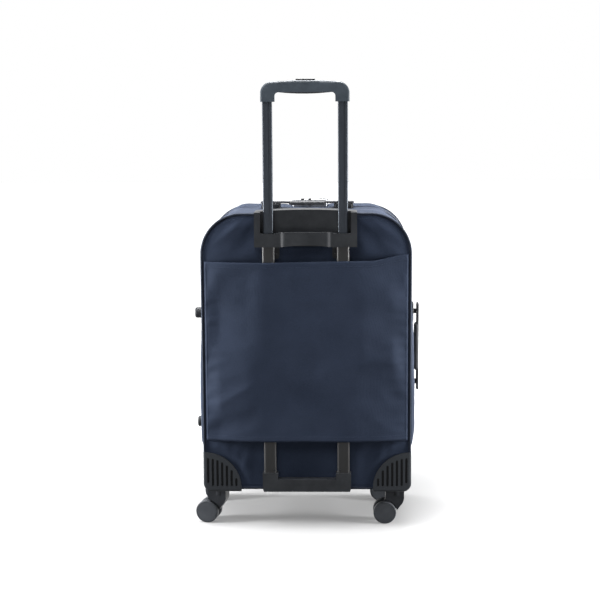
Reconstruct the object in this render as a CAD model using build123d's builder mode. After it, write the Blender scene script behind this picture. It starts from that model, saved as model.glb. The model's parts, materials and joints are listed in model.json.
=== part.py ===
from build123d import *
import os
from math import cos, radians, sin

# Soft-sided spinner suitcase, seen upright on its four casters with the trolley handle raised.
# Millimetres.  +Z is up, +Y is the zipped front, -Y is the back that carries the trolley tubes.
# The origin is on the floor, at the middle of the bounding box.

# ---------------------------------------------------------------- driving dimensions
HALF_REACH = 242.5          # side feet and side handle, from the centre plane
FRONT_REACH = 156.0         # lower pocket's face
CASE_HALF_W = 218.0         # fabric body
CASE_BOTTOM = 87.0
CASE_TOP = 671.5
CASE_BACK = -128.0          # outer face of the back panel
CASE_FRONT = 134.5          # outer face of the front panel
CORNER_R_TOP = 84.0
CORNER_R_BOTTOM = 14.0

PANEL_T = 3.0               # fabric panel, and each stiffening board
GUSSET_T = 4.0              # fabric and foam wall round the body
LINING_INSET = 8.5          # lining's outer face, in from the body outline
LINING_T = 1.0
WIRE_T = 4.0                # spring-steel frame wire, square
ZIP_Y = 60.5                # back edge of the main zip
ZIP_W = 3.0
LID_GAP = 0.5
LID_FOLD_Z = 168.0          # horizontal fold that the front opens on

TUBE_X = 77.5               # trolley tube centres
TUBE_Y = -140.5
OUTER_TUBE_W, OUTER_TUBE_D = 26.0, 17.0
INNER_TUBE_W, INNER_TUBE_D = 20.5, 12.0
OUTER_TUBE_WALL = 1.5
INNER_TUBE_WALL = 1.2
OUTER_TUBE_BOTTOM, OUTER_TUBE_TOP = 112.0, 632.0
INNER_TUBE_BOTTOM, INNER_TUBE_TOP = 560.0, 924.0
TRAVEL = 268.0              # trolley handle, raised to lowered
STOP_COUNT = 7              # locking holes along each outer tube
PIN_Z = 552.0
PIN_R = 2.5

GRIP_HALF_W = 91.2
GRIP_TOP, GRIP_ARM_BOTTOM = 946.0, 902.6
GRIP_ARM_W = 29.0
GRIP_D = 17.6
BUTTON_X = 1.0
BUTTON_L, BUTTON_W = 40.0, 9.0
BUTTON_TOP = 949.0

HOUSING_HALF_W = 106.5
HOUSING_BOTTOM, BAND_TOP, HOUSING_TOP = 605.0, 633.0, 677.0
BAND_BACK = -151.5
BAND_BULGE = -156.0
HOUSING_WALL_Y = -131.0     # face of the housing's back wall
FINGER_HALF_W = 52.0

BRACKET_HALF_W, BRACKET_INNER = 93.5, 61.6
BRACKET_BOTTOM, BRACKET_BEAM_TOP, BRACKET_TOP = 84.7, 111.0, 125.0
BRACKET_BACK = -151.0
SCREW_X, SCREW_Z = 62.0, 588.5              # screws under the housing
TUBE_SCREW_X, TUBE_SCREW_Z = 68.5, 131.5    # screws through the tubes' lower ends
SCREW_SHANK_R, SCREW_HEAD_R = 1.6, 2.4

COVER_BOTTOM, COVER_TOP = 192.0, 574.0
COVER_HALF_W, COVER_FLAT_HALF_W = 213.0, 96.0
COVER_T = 2.0

GUARD_REACH = 78.0          # round-cut corner guard, from the body corner
GUARD_T = 3.5
GUARD_BOTTOM = 79.0
GUARD_GROOVES, GROOVE_PITCH, GROOVE_W, GROOVE_DEPTH = 7, 10.0, 4.8, 2.3

WHEEL_R = 24.5
WHEEL_T = 13.0
WHEEL_OFFSET = 7.0          # inner face of each twin wheel, from the swivel axis
TRAIL = 25.6                # axle, behind the swivel axis
AXLE_R = 2.5
AXLE_HALF_L = 17.0
REST_TURN = {"rear_left": -11.0}    # degrees that a caster stands turned from the others
SWIVEL = {                  # swivel axis of each caster
    "rear_left": (-189.92, -83.0),
    "rear_right": (192.0, -83.0),
    "front_left": (-188.5, 89.0),
    "front_right": (188.5, 89.0),
}
FORK_TOP = 78.5
STEM_R = 5.0

TOP_HANDLE_Y = 22.0
TOP_LEG_X = 80.0
SIDE_HANDLE_Y = 2.0
SIDE_HANDLE_Z = 371.5
SIDE_LEG_Z = 76.0           # legs, either side of the handle's middle
LEG = 10.0                  # square leg of both carry handles
LEG_SOCKET = 10.6
LEG_DEPTH = 17.0            # how far a socket reaches into the body

FEET_Y = -68.0
FEET = ((457.0, 21.5), (219.0, 19.5))    # height above the floor, reach out of the side
FOOT_R = 11.5

LOCK_X0, LOCK_X1 = -35.0, 44.5
LOCK_Y0, LOCK_Y1 = 70.0, 100.0
LOCK_TOP = 690.0
PULL_X = (-11.5, 4.2)
PULL_PIVOT_Y, PULL_PIVOT_Z = 62.0, 679.5
PULL_TILT = 20.0
LOCK_BUTTON_X = 31.0

os.makedirs("parts", exist_ok=True)


def write(piece, name):
    """Label a finished piece and write it to its own file."""
    piece.part.label = name
    export_step(piece.part, f"parts/{name}.step")


def facing_back(y):
    """Upright plane at depth y: local x is X, local y is Z, and extruding goes towards the back."""
    return Plane.XZ.offset(-y)


def case_outline(inset, bottom=CASE_BOTTOM, top=CASE_TOP):
    """The body's upright outline, pulled in all round: large arcs above, small ones below."""
    height = top - bottom - 2 * inset
    with BuildSketch() as outline:
        with Locations((0, (top + bottom) / 2)):
            Rectangle(2 * (CASE_HALF_W - inset), height)
        fillet(outline.vertices().group_by(Axis.Y)[-1], CORNER_R_TOP - inset)
        fillet(outline.vertices().group_by(Axis.Y)[0], max(CORNER_R_BOTTOM - inset, 2.0))
    return outline.sketch


def case_ring(outer_inset, inner_inset):
    """A closed band between two insets of the body's outline."""
    with BuildSketch() as ring:
        add(case_outline(outer_inset))
        add(case_outline(inner_inset), mode=Mode.SUBTRACT)
    return ring.sketch


# ---------------------------------------------------------------- back panel and its stiffener
screw_spots = [(side * SCREW_X, SCREW_Z) for side in (-1, 1)]
tube_screw_spots = [(side * TUBE_SCREW_X, TUBE_SCREW_Z) for side in (-1, 1)]

with BuildPart() as rear_panel:
    with BuildSketch(facing_back(CASE_BACK + PANEL_T)):
        add(case_outline(0))
        with Locations(*screw_spots):
            Circle(SCREW_SHANK_R, mode=Mode.SUBTRACT)
    extrude(amount=PANEL_T)
write(rear_panel, "rear_panel")

with BuildPart() as back_board:
    with BuildSketch(facing_back(CASE_BACK + 2 * PANEL_T)):
        add(case_outline(GUSSET_T + 1))
        with Locations(*screw_spots):
            Circle(SCREW_SHANK_R, mode=Mode.SUBTRACT)
    extrude(amount=PANEL_T)
write(back_board, "back_board")

# ---------------------------------------------------------------- gusset, lining and frame wires
top_leg_spots = [(side * TOP_LEG_X, TOP_HANDLE_Y) for side in (-1, 1)]
side_leg_spots = [(SIDE_HANDLE_Y, SIDE_HANDLE_Z + side * SIDE_LEG_Z) for side in (-1, 1)]
BOSS = LEG_SOCKET + 5.0     # outside of a leg socket where it passes through the body
RIGHT_SIDE = Plane.YZ       # local x is Y, local y is Z


with BuildPart() as boss_holes:
    with BuildSketch(Plane.XY.offset(CASE_TOP + 5)):
        with Locations(*top_leg_spots):
            Rectangle(BOSS + 0.4, BOSS + 0.4)
    extrude(amount=-30)
    with BuildSketch(RIGHT_SIDE.offset(CASE_HALF_W + 5)):
        with Locations(*side_leg_spots):
            Rectangle(BOSS + 0.4, BOSS + 0.4)
    extrude(amount=-30)

FRONT_INNER = CASE_FRONT - PANEL_T

with BuildPart() as gusset_main:
    with BuildSketch(facing_back(FRONT_INNER)):
        add(case_ring(0, GUSSET_T))
    extrude(amount=FRONT_INNER - (CASE_BACK + PANEL_T))
    # The front half above the fold belongs to the lid.
    with BuildSketch(facing_back(FRONT_INNER + 1)):
        with Locations((0, LID_FOLD_Z - LID_GAP)):
            Rectangle(2 * CASE_HALF_W + 10, CASE_TOP, align=(Align.CENTER, Align.MIN))
    extrude(amount=FRONT_INNER + 1 - ZIP_Y, mode=Mode.SUBTRACT)
    add(boss_holes.part, mode=Mode.SUBTRACT)
write(gusset_main, "gusset_main")

with BuildPart() as zip_track:
    with BuildSketch(facing_back(ZIP_Y + ZIP_W)):
        add(case_ring(-0.8, GUSSET_T))
    extrude(amount=ZIP_W)
    split(bisect_by=Plane.XY.offset(LID_FOLD_Z + LID_GAP), keep=Keep.TOP)
    # The two sliders stand on the track, above the lid's edge.
    with BuildSketch(Plane.XY.offset(CASE_TOP + 0.8)):
        with Locations(*[(x, PULL_PIVOT_Y) for x in PULL_X]):
            RectangleRounded(8.6, 9.0, 2.0)
    extrude(amount=4.4)
write(zip_track, "zip_track")

LINING_BACK = CASE_BACK + 2 * PANEL_T + WIRE_T + 1
LINING_FRONT = ZIP_Y - 2.5

with BuildPart() as lining_main:
    with BuildSketch(facing_back(LINING_FRONT)):
        add(case_outline(LINING_INSET))
    extrude(amount=LINING_FRONT - LINING_BACK)
    with BuildSketch(facing_back(LINING_FRONT)):
        add(case_outline(LINING_INSET + LINING_T))
    extrude(amount=LINING_FRONT - LINING_BACK - LINING_T, mode=Mode.SUBTRACT)
    add(boss_holes.part, mode=Mode.SUBTRACT)
write(lining_main, "lining_main")

with BuildPart() as frame_wires:
    for wire_front in (LINING_BACK - 0.5, LINING_FRONT):
        with BuildSketch(facing_back(wire_front)):
            add(case_ring(GUSSET_T + 0.2, GUSSET_T + 0.2 + WIRE_T))
        extrude(amount=WIRE_T)
write(frame_wires, "frame_wires")

# ---------------------------------------------------------------- fixed lower front, and base plate
with BuildPart() as front_apron:
    with BuildSketch(facing_back(CASE_FRONT)):
        add(case_outline(0))
    extrude(amount=PANEL_T)
    split(bisect_by=Plane.XY.offset(LID_FOLD_Z - LID_GAP), keep=Keep.BOTTOM)
write(front_apron, "front_apron")

BASE_Y0, BASE_Y1 = -94.0, 104.0
with BuildPart() as base_plate:
    with BuildSketch(Plane.XY.offset(CASE_BOTTOM)):
        with Locations((0, (BASE_Y0 + BASE_Y1) / 2)):
            RectangleRounded(2 * 128, BASE_Y1 - BASE_Y0, 18)
    extrude(amount=-4)
    with BuildSketch(Plane.XY.offset(CASE_BOTTOM - 4)):
        with Locations((0, (BASE_Y0 + BASE_Y1) / 2)):
            with GridLocations(52, 0, 5, 1):
                SlotOverall(150, 9, rotation=90)
    extrude(amount=-4)
write(base_plate, "base_plate")

# ---------------------------------------------------------------- corner guards
# One moulding per lower corner.  A sphere about the body's corner trims its three walls to
# quarter-rounds, and its floor carries the caster's stem.
GUARD_OUT = CASE_HALF_W + GUARD_T
GUARD_SPAN = GUARD_REACH + 8

with BuildPart() as case_block:
    with BuildSketch(facing_back(CASE_FRONT)):
        add(case_outline(0))
    extrude(amount=CASE_FRONT - CASE_BACK)


def guard(side, end, swivel):
    """A corner guard: side is -1 or 1 along X, end is -1 at the back and 1 at the front."""
    face = CASE_BACK if end < 0 else CASE_FRONT
    outer = face + end * GUARD_T
    corner_x = side * GUARD_OUT
    with BuildPart() as piece:
        with BuildSketch(facing_back(outer if end > 0 else outer + GUARD_SPAN)) as profile:
            with Locations((corner_x - side * GUARD_SPAN / 2, GUARD_BOTTOM + GUARD_SPAN / 2)):
                Rectangle(GUARD_SPAN, GUARD_SPAN)
            fillet(profile.vertices().sort_by(lambda v: v.X * -side + v.Y)[0], 17.5)
        extrude(amount=GUARD_SPAN)
        upright = piece.edges().filter_by(Axis.Z).sort_by_distance((corner_x, outer, 150))[0]
        fillet(upright, 5.0)
        add(case_block.part, mode=Mode.SUBTRACT)
        with Locations((side * CASE_HALF_W, face, CASE_BOTTOM)):
            Sphere(GUARD_REACH, rotation=(0, 0, side * end * 45), mode=Mode.INTERSECT)
        with BuildSketch(facing_back(outer if end > 0 else outer + GROOVE_DEPTH)):
            for number in range(GUARD_GROOVES):
                from_corner = 7.0 + number * GROOVE_PITCH
                low = CASE_BOTTOM + max(4.0, 15.0 - from_corner * 0.6)
                high = CASE_BOTTOM + ((GUARD_REACH - 7) ** 2 - from_corner ** 2) ** 0.5 * 0.93
                with Locations((side * (CASE_HALF_W - from_corner), (low + high) / 2)):
                    SlotOverall(high - low, GROOVE_W, rotation=90)
        extrude(amount=GROOVE_DEPTH, mode=Mode.SUBTRACT)
        with Locations((*swivel, CASE_BOTTOM)):
            CounterBoreHole(STEM_R + 0.05, 9.2, 2.5, depth=20)
    return piece


for name, swivel in SWIVEL.items():
    side = 1 if name.endswith("right") else -1
    end = -1 if name.startswith("rear") else 1
    write(guard(side, end, swivel), f"guard_{name}")

# ---------------------------------------------------------------- casters
FORK_HALF_D = 15.0
WEB_HALF = 5.5
HUB_R, HUB_BOTTOM = 16.0, 62.0
WHEEL_CLEAR_R = 26.3
HEAD_SEAT = 60.3            # where the stem's lower head bears in the fork
CAP_R, CAP_GROOVE = 21.4, 0.8


def across(swivel, turn, depth):
    """Upright plane through a caster: local x is its forward direction, and it faces its back side."""
    side = Vector(sin(radians(turn)), -cos(radians(turn)), 0)
    forward = (cos(radians(turn)), sin(radians(turn)), 0)
    return Plane(origin=Vector(*swivel, 0) + side * depth, x_dir=forward, z_dir=side)


def fork(swivel, turn):
    """Caster body: a hub, a hood over the wheels' tops, a column beside them and a web between."""
    x, y = swivel
    with BuildPart() as piece:
        with BuildSketch(Plane((x, y, HUB_BOTTOM))):
            Circle(HUB_R)
        extrude(amount=FORK_TOP - HUB_BOTTOM)
        with BuildSketch(across(swivel, turn, -FORK_HALF_D)):
            with BuildLine():
                Polyline((-24, FORK_TOP), (16, FORK_TOP), (16, 56))
                ThreePointArc((16, 56), (13.4, 46.5), (8, 39))
                Polyline((8, 39), (0, 28), (-24, 44), (-24, FORK_TOP))
            make_face()
        extrude(amount=2 * FORK_HALF_D)
        with BuildSketch(across(swivel, turn, -FORK_HALF_D - 5)):
            with Locations((-TRAIL, WHEEL_R)):
                Circle(WHEEL_CLEAR_R)
        extrude(amount=2 * FORK_HALF_D + 10, mode=Mode.SUBTRACT)
        with BuildSketch(across(swivel, turn, -WEB_HALF)):
            with BuildLine():
                Polyline((-33, 32), (-20, 62), (4, 62), (2, 34), (-20, 15.5), (-33, 20), (-33, 32))
            make_face()
            with Locations((-TRAIL, WHEEL_R)):
                Circle(10)
                Circle(AXLE_R, mode=Mode.SUBTRACT)
        extrude(amount=2 * WEB_HALF)
        with BuildSketch(Plane((x, y, FORK_TOP))):
            Circle(STEM_R + 0.06)
        extrude(amount=-(FORK_TOP - HEAD_SEAT + 1), mode=Mode.SUBTRACT)
        with BuildSketch(Plane((x, y, HEAD_SEAT))):
            Circle(9)
        extrude(amount=-5, mode=Mode.SUBTRACT)
    return piece


def axle(swivel, turn):
    """Steel pin through the fork's web, with a wheel on each end."""
    with BuildPart() as piece:
        with BuildSketch(across(swivel, turn, -AXLE_HALF_L)):
            with Locations((-TRAIL, WHEEL_R)):
                Circle(AXLE_R)
        extrude(amount=2 * AXLE_HALF_L)
    return piece


def wheel(swivel, turn, toward):
    """One of the twin wheels; toward is 1 on the back side of the fork and -1 on the front."""
    inner = across(swivel, turn, toward * WHEEL_OFFSET)
    outer = across(swivel, turn, toward * (WHEEL_OFFSET + WHEEL_T))
    with BuildPart() as piece:
        with BuildSketch(inner):
            with Locations((-TRAIL, WHEEL_R)):
                Circle(WHEEL_R)
        extrude(amount=toward * WHEEL_T)
        fillet(piece.edges(), 2.4)
        with BuildSketch(outer):
            with Locations((-TRAIL, WHEEL_R)):
                Circle(CAP_R)
                Circle(CAP_R - CAP_GROOVE, mode=Mode.SUBTRACT)
        extrude(amount=-toward * CAP_GROOVE, mode=Mode.SUBTRACT)
        with BuildSketch(inner):
            with Locations((-TRAIL, WHEEL_R)):
                Circle(AXLE_R + 0.06)
        extrude(amount=toward * (AXLE_HALF_L - WHEEL_OFFSET + 0.4), mode=Mode.SUBTRACT)
    return piece


for name, swivel in SWIVEL.items():
    turn = REST_TURN.get(name, 0.0)
    write(fork(swivel, turn), f"fork_{name}")
    write(axle(swivel, turn), f"axle_{name}")
    write(wheel(swivel, turn, 1), f"wheel_{name}_a")
    write(wheel(swivel, turn, -1), f"wheel_{name}_b")

with BuildPart() as caster_stems:
    with BuildSketch(Plane.XY.offset(HEAD_SEAT - 3.3)):
        with Locations(*SWIVEL.values()):
            Circle(8)
    extrude(amount=3)
    with BuildSketch(Plane.XY.offset(HEAD_SEAT - 1)):
        with Locations(*SWIVEL.values()):
            Circle(STEM_R)
    extrude(amount=CASE_BOTTOM - HEAD_SEAT)
    with BuildSketch(Plane.XY.offset(CASE_BOTTOM - 2.5)):
        with Locations(*SWIVEL.values()):
            Circle(9)
    extrude(amount=2.3)
write(caster_stems, "caster_stems")

# ---------------------------------------------------------------- trolley housing and base bracket
EAR_W, EAR_REACH = 14.0, 26.0
tube_spots = [(-TUBE_X, TUBE_Y), (TUBE_X, TUBE_Y)]
CAVITY_W = OUTER_TUBE_W - 2 * OUTER_TUBE_WALL
CAVITY_D = OUTER_TUBE_D - 2 * OUTER_TUBE_WALL
TUBE_BACK = TUBE_Y - OUTER_TUBE_D / 2
TUBE_SCREW_END = TUBE_BACK + 6.0
PLUG_H = 27.0
POST_INNER = 94.0
BAND_FRONT = -149.3

with BuildPart() as handle_housing:
    # Back wall, against the panel, with a screw ear under each end.
    with BuildSketch(facing_back(CASE_BACK)):
        with Locations((0, (HOUSING_BOTTOM + HOUSING_TOP) / 2)):
            Rectangle(2 * HOUSING_HALF_W, HOUSING_TOP - HOUSING_BOTTOM)
        with Locations(*[(side * SCREW_X, HOUSING_BOTTOM - EAR_REACH / 2 + 2) for side in (-1, 1)]):
            RectangleRounded(EAR_W, EAR_REACH + 4, 6)
        with Locations(*screw_spots):
            Circle(SCREW_SHANK_R, mode=Mode.SUBTRACT)
    extrude(amount=CASE_BACK - HOUSING_WALL_Y)
    # Tube collars, joined by the band.
    with BuildSketch(Plane.XY.offset(HOUSING_BOTTOM)):
        with Locations((0, (CASE_BACK + BAND_BACK) / 2)):
            Rectangle(2 * HOUSING_HALF_W, CASE_BACK - BAND_BACK)
            Rectangle(2 * FINGER_HALF_W, CASE_BACK - BAND_BACK + 2, mode=Mode.SUBTRACT)
    extrude(amount=BAND_TOP - HOUSING_BOTTOM)
    # The band's middle stands out with rounded ends and is arched, as a finger grip.
    with BuildSketch(Plane.XY.offset(HOUSING_BOTTOM)) as finger_grip:
        with BuildLine():
            Polyline((FINGER_HALF_W + 4, BAND_BACK), (FINGER_HALF_W, BAND_BACK),
                     (FINGER_HALF_W - 8, BAND_BULGE), (-FINGER_HALF_W + 8, BAND_BULGE),
                     (-FINGER_HALF_W, BAND_BACK), (-FINGER_HALF_W - 4, BAND_BACK),
                     (-FINGER_HALF_W - 4, BAND_FRONT), (FINGER_HALF_W + 4, BAND_FRONT),
                     (FINGER_HALF_W + 4, BAND_BACK))
        make_face()
        fillet(finger_grip.vertices().filter_by(lambda v: abs(v.Y - BAND_BULGE) < 0.1), 14)
        fillet(finger_grip.vertices().filter_by(lambda v: abs(abs(v.X) - FINGER_HALF_W) < 0.1), 6)
    extrude(amount=BAND_TOP - HOUSING_BOTTOM + 3)
    with BuildSketch(facing_back(BAND_FRONT + 1)):
        with BuildLine():
            ThreePointArc((-FINGER_HALF_W, HOUSING_BOTTOM), (0, HOUSING_BOTTOM + 4),
                          (FINGER_HALF_W, HOUSING_BOTTOM))
            Line((FINGER_HALF_W, HOUSING_BOTTOM), (-FINGER_HALF_W, HOUSING_BOTTOM))
        make_face()
    extrude(amount=20, mode=Mode.SUBTRACT)
    # Posts beside the tubes.
    with BuildSketch(Plane.XY.offset(BAND_TOP)):
        post_w = HOUSING_HALF_W - POST_INNER
        with Locations(*[(side * (POST_INNER + post_w / 2), (CASE_BACK + BAND_BACK) / 2)
                         for side in (-1, 1)]):
            Rectangle(post_w, CASE_BACK - BAND_BACK)
    extrude(amount=HOUSING_TOP - BAND_TOP)
    # Crowned lip that hooks over the top of the body.
    with BuildSketch(facing_back(CASE_BACK + 46)):
        with BuildLine():
            Polyline((-HOUSING_HALF_W, HOUSING_TOP), (-HOUSING_HALF_W, CASE_TOP + 0.3),
                     (HOUSING_HALF_W, CASE_TOP + 0.3), (HOUSING_HALF_W, HOUSING_TOP))
            ThreePointArc((HOUSING_HALF_W, HOUSING_TOP), (0, HOUSING_TOP + 4.5),
                          (-HOUSING_HALF_W, HOUSING_TOP))
        make_face()
    extrude(amount=46 + CASE_BACK - HOUSING_WALL_Y)
    # Pockets for the outer tubes, stepped in at the top round the inner ones.
    with BuildSketch(Plane.XY.offset(HOUSING_BOTTOM)):
        with Locations(*tube_spots):
            RectangleRounded(OUTER_TUBE_W, OUTER_TUBE_D, 5)
    extrude(amount=OUTER_TUBE_TOP + 0.2 - HOUSING_BOTTOM, mode=Mode.SUBTRACT)
    with BuildSketch(Plane.XY.offset(HOUSING_BOTTOM)):
        with Locations(*tube_spots):
            RectangleRounded(OUTER_TUBE_W - 3, OUTER_TUBE_D - 3, 4)
    extrude(amount=BAND_TOP + 1 - HOUSING_BOTTOM, mode=Mode.SUBTRACT)
write(handle_housing, "handle_housing")

with BuildPart() as base_bracket:
    with BuildSketch(facing_back(CASE_BACK)):
        with BuildLine():
            Polyline((-BRACKET_HALF_W, BRACKET_TOP), (-BRACKET_HALF_W, BRACKET_BOTTOM + 6),
                     (-BRACKET_HALF_W + 2.5, BRACKET_BOTTOM), (BRACKET_HALF_W - 2.5, BRACKET_BOTTOM),
                     (BRACKET_HALF_W, BRACKET_BOTTOM + 6), (BRACKET_HALF_W, BRACKET_TOP),
                     (BRACKET_INNER, BRACKET_TOP), (BRACKET_INNER, BRACKET_BEAM_TOP),
                     (-BRACKET_INNER, BRACKET_BEAM_TOP), (-BRACKET_INNER, BRACKET_TOP),
                     (-BRACKET_HALF_W, BRACKET_TOP))
        make_face()
    extrude(amount=CASE_BACK - BRACKET_BACK)
    with BuildSketch(Plane.XY.offset(OUTER_TUBE_BOTTOM)):
        with Locations(*tube_spots):
            RectangleRounded(OUTER_TUBE_W, OUTER_TUBE_D, 5)
    extrude(amount=30, mode=Mode.SUBTRACT)
    # A plug inside each tube's lower end, held by a screw.
    with BuildSketch(Plane.XY.offset(OUTER_TUBE_BOTTOM - 2)):
        with Locations(*tube_spots):
            RectangleRounded(CAVITY_W - 0.2, CAVITY_D - 0.2, 3.4)
    extrude(amount=PLUG_H + 2)
    with BuildSketch(facing_back(TUBE_SCREW_END)):
        with Locations(*tube_screw_spots):
            Circle(SCREW_SHANK_R)
    extrude(amount=TUBE_SCREW_END - BRACKET_BACK, mode=Mode.SUBTRACT)
write(base_bracket, "base_bracket")

with BuildPart() as trolley_screws:
    with BuildSketch(facing_back(HOUSING_WALL_Y)):
        with Locations(*screw_spots):
            Circle(SCREW_HEAD_R)
    extrude(amount=1.8)
    with BuildSketch(facing_back(CASE_BACK + 2 * PANEL_T)):
        with Locations(*screw_spots):
            Circle(SCREW_SHANK_R)
    extrude(amount=CASE_BACK + 2 * PANEL_T - HOUSING_WALL_Y)
    with BuildSketch(facing_back(TUBE_BACK)):
        with Locations(*tube_screw_spots):
            Circle(SCREW_HEAD_R)
    extrude(amount=1.2)
    with BuildSketch(facing_back(TUBE_SCREW_END)):
        with Locations(*tube_screw_spots):
            Circle(SCREW_SHANK_R)
    extrude(amount=TUBE_SCREW_END - TUBE_BACK)
write(trolley_screws, "trolley_screws")

# ---------------------------------------------------------------- fixed outer tubes and their bushes
STOP_PITCH = TRAVEL / (STOP_COUNT - 1)


def outer_tube(side):
    """Fixed tube, drilled on its hidden side with one locking hole for each stop."""
    with BuildPart() as piece:
        with BuildSketch(Plane.XY.offset(OUTER_TUBE_BOTTOM)):
            with Locations((side * TUBE_X, TUBE_Y)):
                RectangleRounded(OUTER_TUBE_W, OUTER_TUBE_D, 5)
                RectangleRounded(CAVITY_W, CAVITY_D, 3.5, mode=Mode.SUBTRACT)
        extrude(amount=OUTER_TUBE_TOP - OUTER_TUBE_BOTTOM)
        with BuildSketch(facing_back(TUBE_Y + OUTER_TUBE_D / 2 + 1)):
            with Locations(*[(side * TUBE_X, PIN_Z - stop * STOP_PITCH) for stop in range(STOP_COUNT)]):
                Circle(PIN_R + 0.4)
        extrude(amount=OUTER_TUBE_WALL + 2, mode=Mode.SUBTRACT)
        with BuildSketch(facing_back(TUBE_SCREW_END)):
            with Locations((side * TUBE_SCREW_X, TUBE_SCREW_Z)):
                Circle(SCREW_SHANK_R)
        extrude(amount=TUBE_SCREW_END - TUBE_BACK + 1, mode=Mode.SUBTRACT)
    return piece


write(outer_tube(-1), "outer_tube_left")
write(outer_tube(1), "outer_tube_right")

BUSH_H = 14.0
with BuildPart() as tube_bushes:
    with BuildSketch(Plane.XY.offset(OUTER_TUBE_TOP - BUSH_H)):
        with Locations(*tube_spots):
            RectangleRounded(CAVITY_W - 0.1, CAVITY_D - 0.1, 3.4)
            RectangleRounded(INNER_TUBE_W + 0.6, INNER_TUBE_D + 0.6, 3.3, mode=Mode.SUBTRACT)
    extrude(amount=BUSH_H)
write(tube_bushes, "tube_bushes")

# ---------------------------------------------------------------- sliding tubes, shoes, pins and rods
ROD = 4.0


def inner_tube(side):
    """Sliding tube, with a shallow groove down the face that looks backwards."""
    with BuildPart() as piece:
        with BuildSketch(Plane.XY.offset(INNER_TUBE_BOTTOM)):
            with Locations((side * TUBE_X, TUBE_Y)):
                RectangleRounded(INNER_TUBE_W, INNER_TUBE_D, 3)
                RectangleRounded(INNER_TUBE_W - 2 * INNER_TUBE_WALL,
                                 INNER_TUBE_D - 2 * INNER_TUBE_WALL, 1.8, mode=Mode.SUBTRACT)
            with Locations((side * TUBE_X + 3, TUBE_Y - INNER_TUBE_D / 2)):
                Rectangle(2.6, 1.2, mode=Mode.SUBTRACT)
        extrude(amount=INNER_TUBE_TOP - INNER_TUBE_BOTTOM)
    return piece


write(inner_tube(-1), "inner_tube_left")
write(inner_tube(1), "inner_tube_right")

SHOE_BOTTOM = 543.0
with BuildPart() as slide_shoes:
    with BuildSketch(Plane.XY.offset(SHOE_BOTTOM)):
        with Locations(*tube_spots):
            RectangleRounded(CAVITY_W - 0.6, CAVITY_D - 0.6, 3.2)
    extrude(amount=INNER_TUBE_BOTTOM - SHOE_BOTTOM)
    with BuildSketch(Plane.XY.offset(INNER_TUBE_BOTTOM)):
        with Locations(*tube_spots):
            Rectangle(13.5, 8.5)
    extrude(amount=8)
    # Bore that each locking pin slides in.
    with BuildSketch(facing_back(TUBE_Y + CAVITY_D)):
        with Locations(*[(side * TUBE_X, PIN_Z) for side in (-1, 1)]):
            Circle(PIN_R + 0.05)
    extrude(amount=CAVITY_D + 4.2, mode=Mode.SUBTRACT)
write(slide_shoes, "slide_shoes")

with BuildPart() as lock_pins:
    with BuildSketch(facing_back(TUBE_Y + OUTER_TUBE_D / 2 - 0.3)):
        with Locations(*[(side * TUBE_X, PIN_Z) for side in (-1, 1)]):
            Circle(PIN_R)
    extrude(amount=9)
write(lock_pins, "lock_pins")

YOKE_Z = 933.0
ROD_BOTTOM = 573.0
with BuildPart() as push_rods:
    with BuildSketch(Plane.XY.offset(YOKE_Z)):
        with Locations((0, TUBE_Y)):
            Rectangle(2 * TUBE_X + ROD, ROD + 1)
    extrude(amount=ROD)
    with BuildSketch(Plane.XY.offset(ROD_BOTTOM)):
        with Locations(*tube_spots):
            Rectangle(ROD, ROD)
    extrude(amount=YOKE_Z + ROD - ROD_BOTTOM)
write(push_rods, "push_rods")

# ---------------------------------------------------------------- grip and button
INSERT_HALF_W, INSERT_BOTTOM, INSERT_TOP = 54.0, 921.8, 927.0

with BuildPart() as grip:
    inner = GRIP_HALF_W - GRIP_ARM_W
    with BuildSketch(facing_back(TUBE_Y + GRIP_D / 2)) as grip_face:
        with BuildLine():
            Line((-GRIP_HALF_W, GRIP_ARM_BOTTOM), (-GRIP_HALF_W, GRIP_TOP - 5))
            ThreePointArc((-GRIP_HALF_W, GRIP_TOP - 5), (0, GRIP_TOP), (GRIP_HALF_W, GRIP_TOP - 5))
            Polyline((GRIP_HALF_W, GRIP_TOP - 5), (GRIP_HALF_W, GRIP_ARM_BOTTOM),
                     (inner, GRIP_ARM_BOTTOM), (inner, INSERT_BOTTOM), (-inner, INSERT_BOTTOM),
                     (-inner, GRIP_ARM_BOTTOM), (-GRIP_HALF_W, GRIP_ARM_BOTTOM))
        make_face()
        fillet(grip_face.vertices().group_by(Axis.Y)[-1], 23)
        fillet(grip_face.vertices().filter_by(lambda v: abs(v.Y - INSERT_BOTTOM) < 0.1), 7.6)
    extrude(amount=GRIP_D)
    face_edges = grip.edges().group_by(Axis.Y)[0] + grip.edges().group_by(Axis.Y)[-1]
    fillet(face_edges.filter_by(lambda e: e.center().Z > 925 or abs(e.center().X) > 90), 4.5)
    # Sockets for the inner tubes, the hollow that the yoke moves in, and the button's opening.
    with BuildSketch(Plane.XY.offset(GRIP_ARM_BOTTOM)):
        with Locations(*tube_spots):
            RectangleRounded(INNER_TUBE_W + 0.1, INNER_TUBE_D + 0.1, 3)
    extrude(amount=INNER_TUBE_TOP - GRIP_ARM_BOTTOM, mode=Mode.SUBTRACT)
    with BuildSketch(facing_back(TUBE_Y + 4)):
        with Locations((0, 930)):
            Rectangle(2 * TUBE_X + 10, 18)
    extrude(amount=8, mode=Mode.SUBTRACT)
    with BuildSketch(facing_back(TUBE_Y + 6.5)):
        with Locations((0, INSERT_TOP)):
            Rectangle(2 * INSERT_HALF_W, 10, align=(Align.CENTER, Align.MAX))
    extrude(amount=13, mode=Mode.SUBTRACT)
    with BuildSketch(Plane.XY.offset(938)):
        with Locations((BUTTON_X, TUBE_Y)):
            SlotOverall(BUTTON_L + 0.8, BUTTON_W + 0.8)
    extrude(amount=20, mode=Mode.SUBTRACT)
write(grip, "grip")

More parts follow.
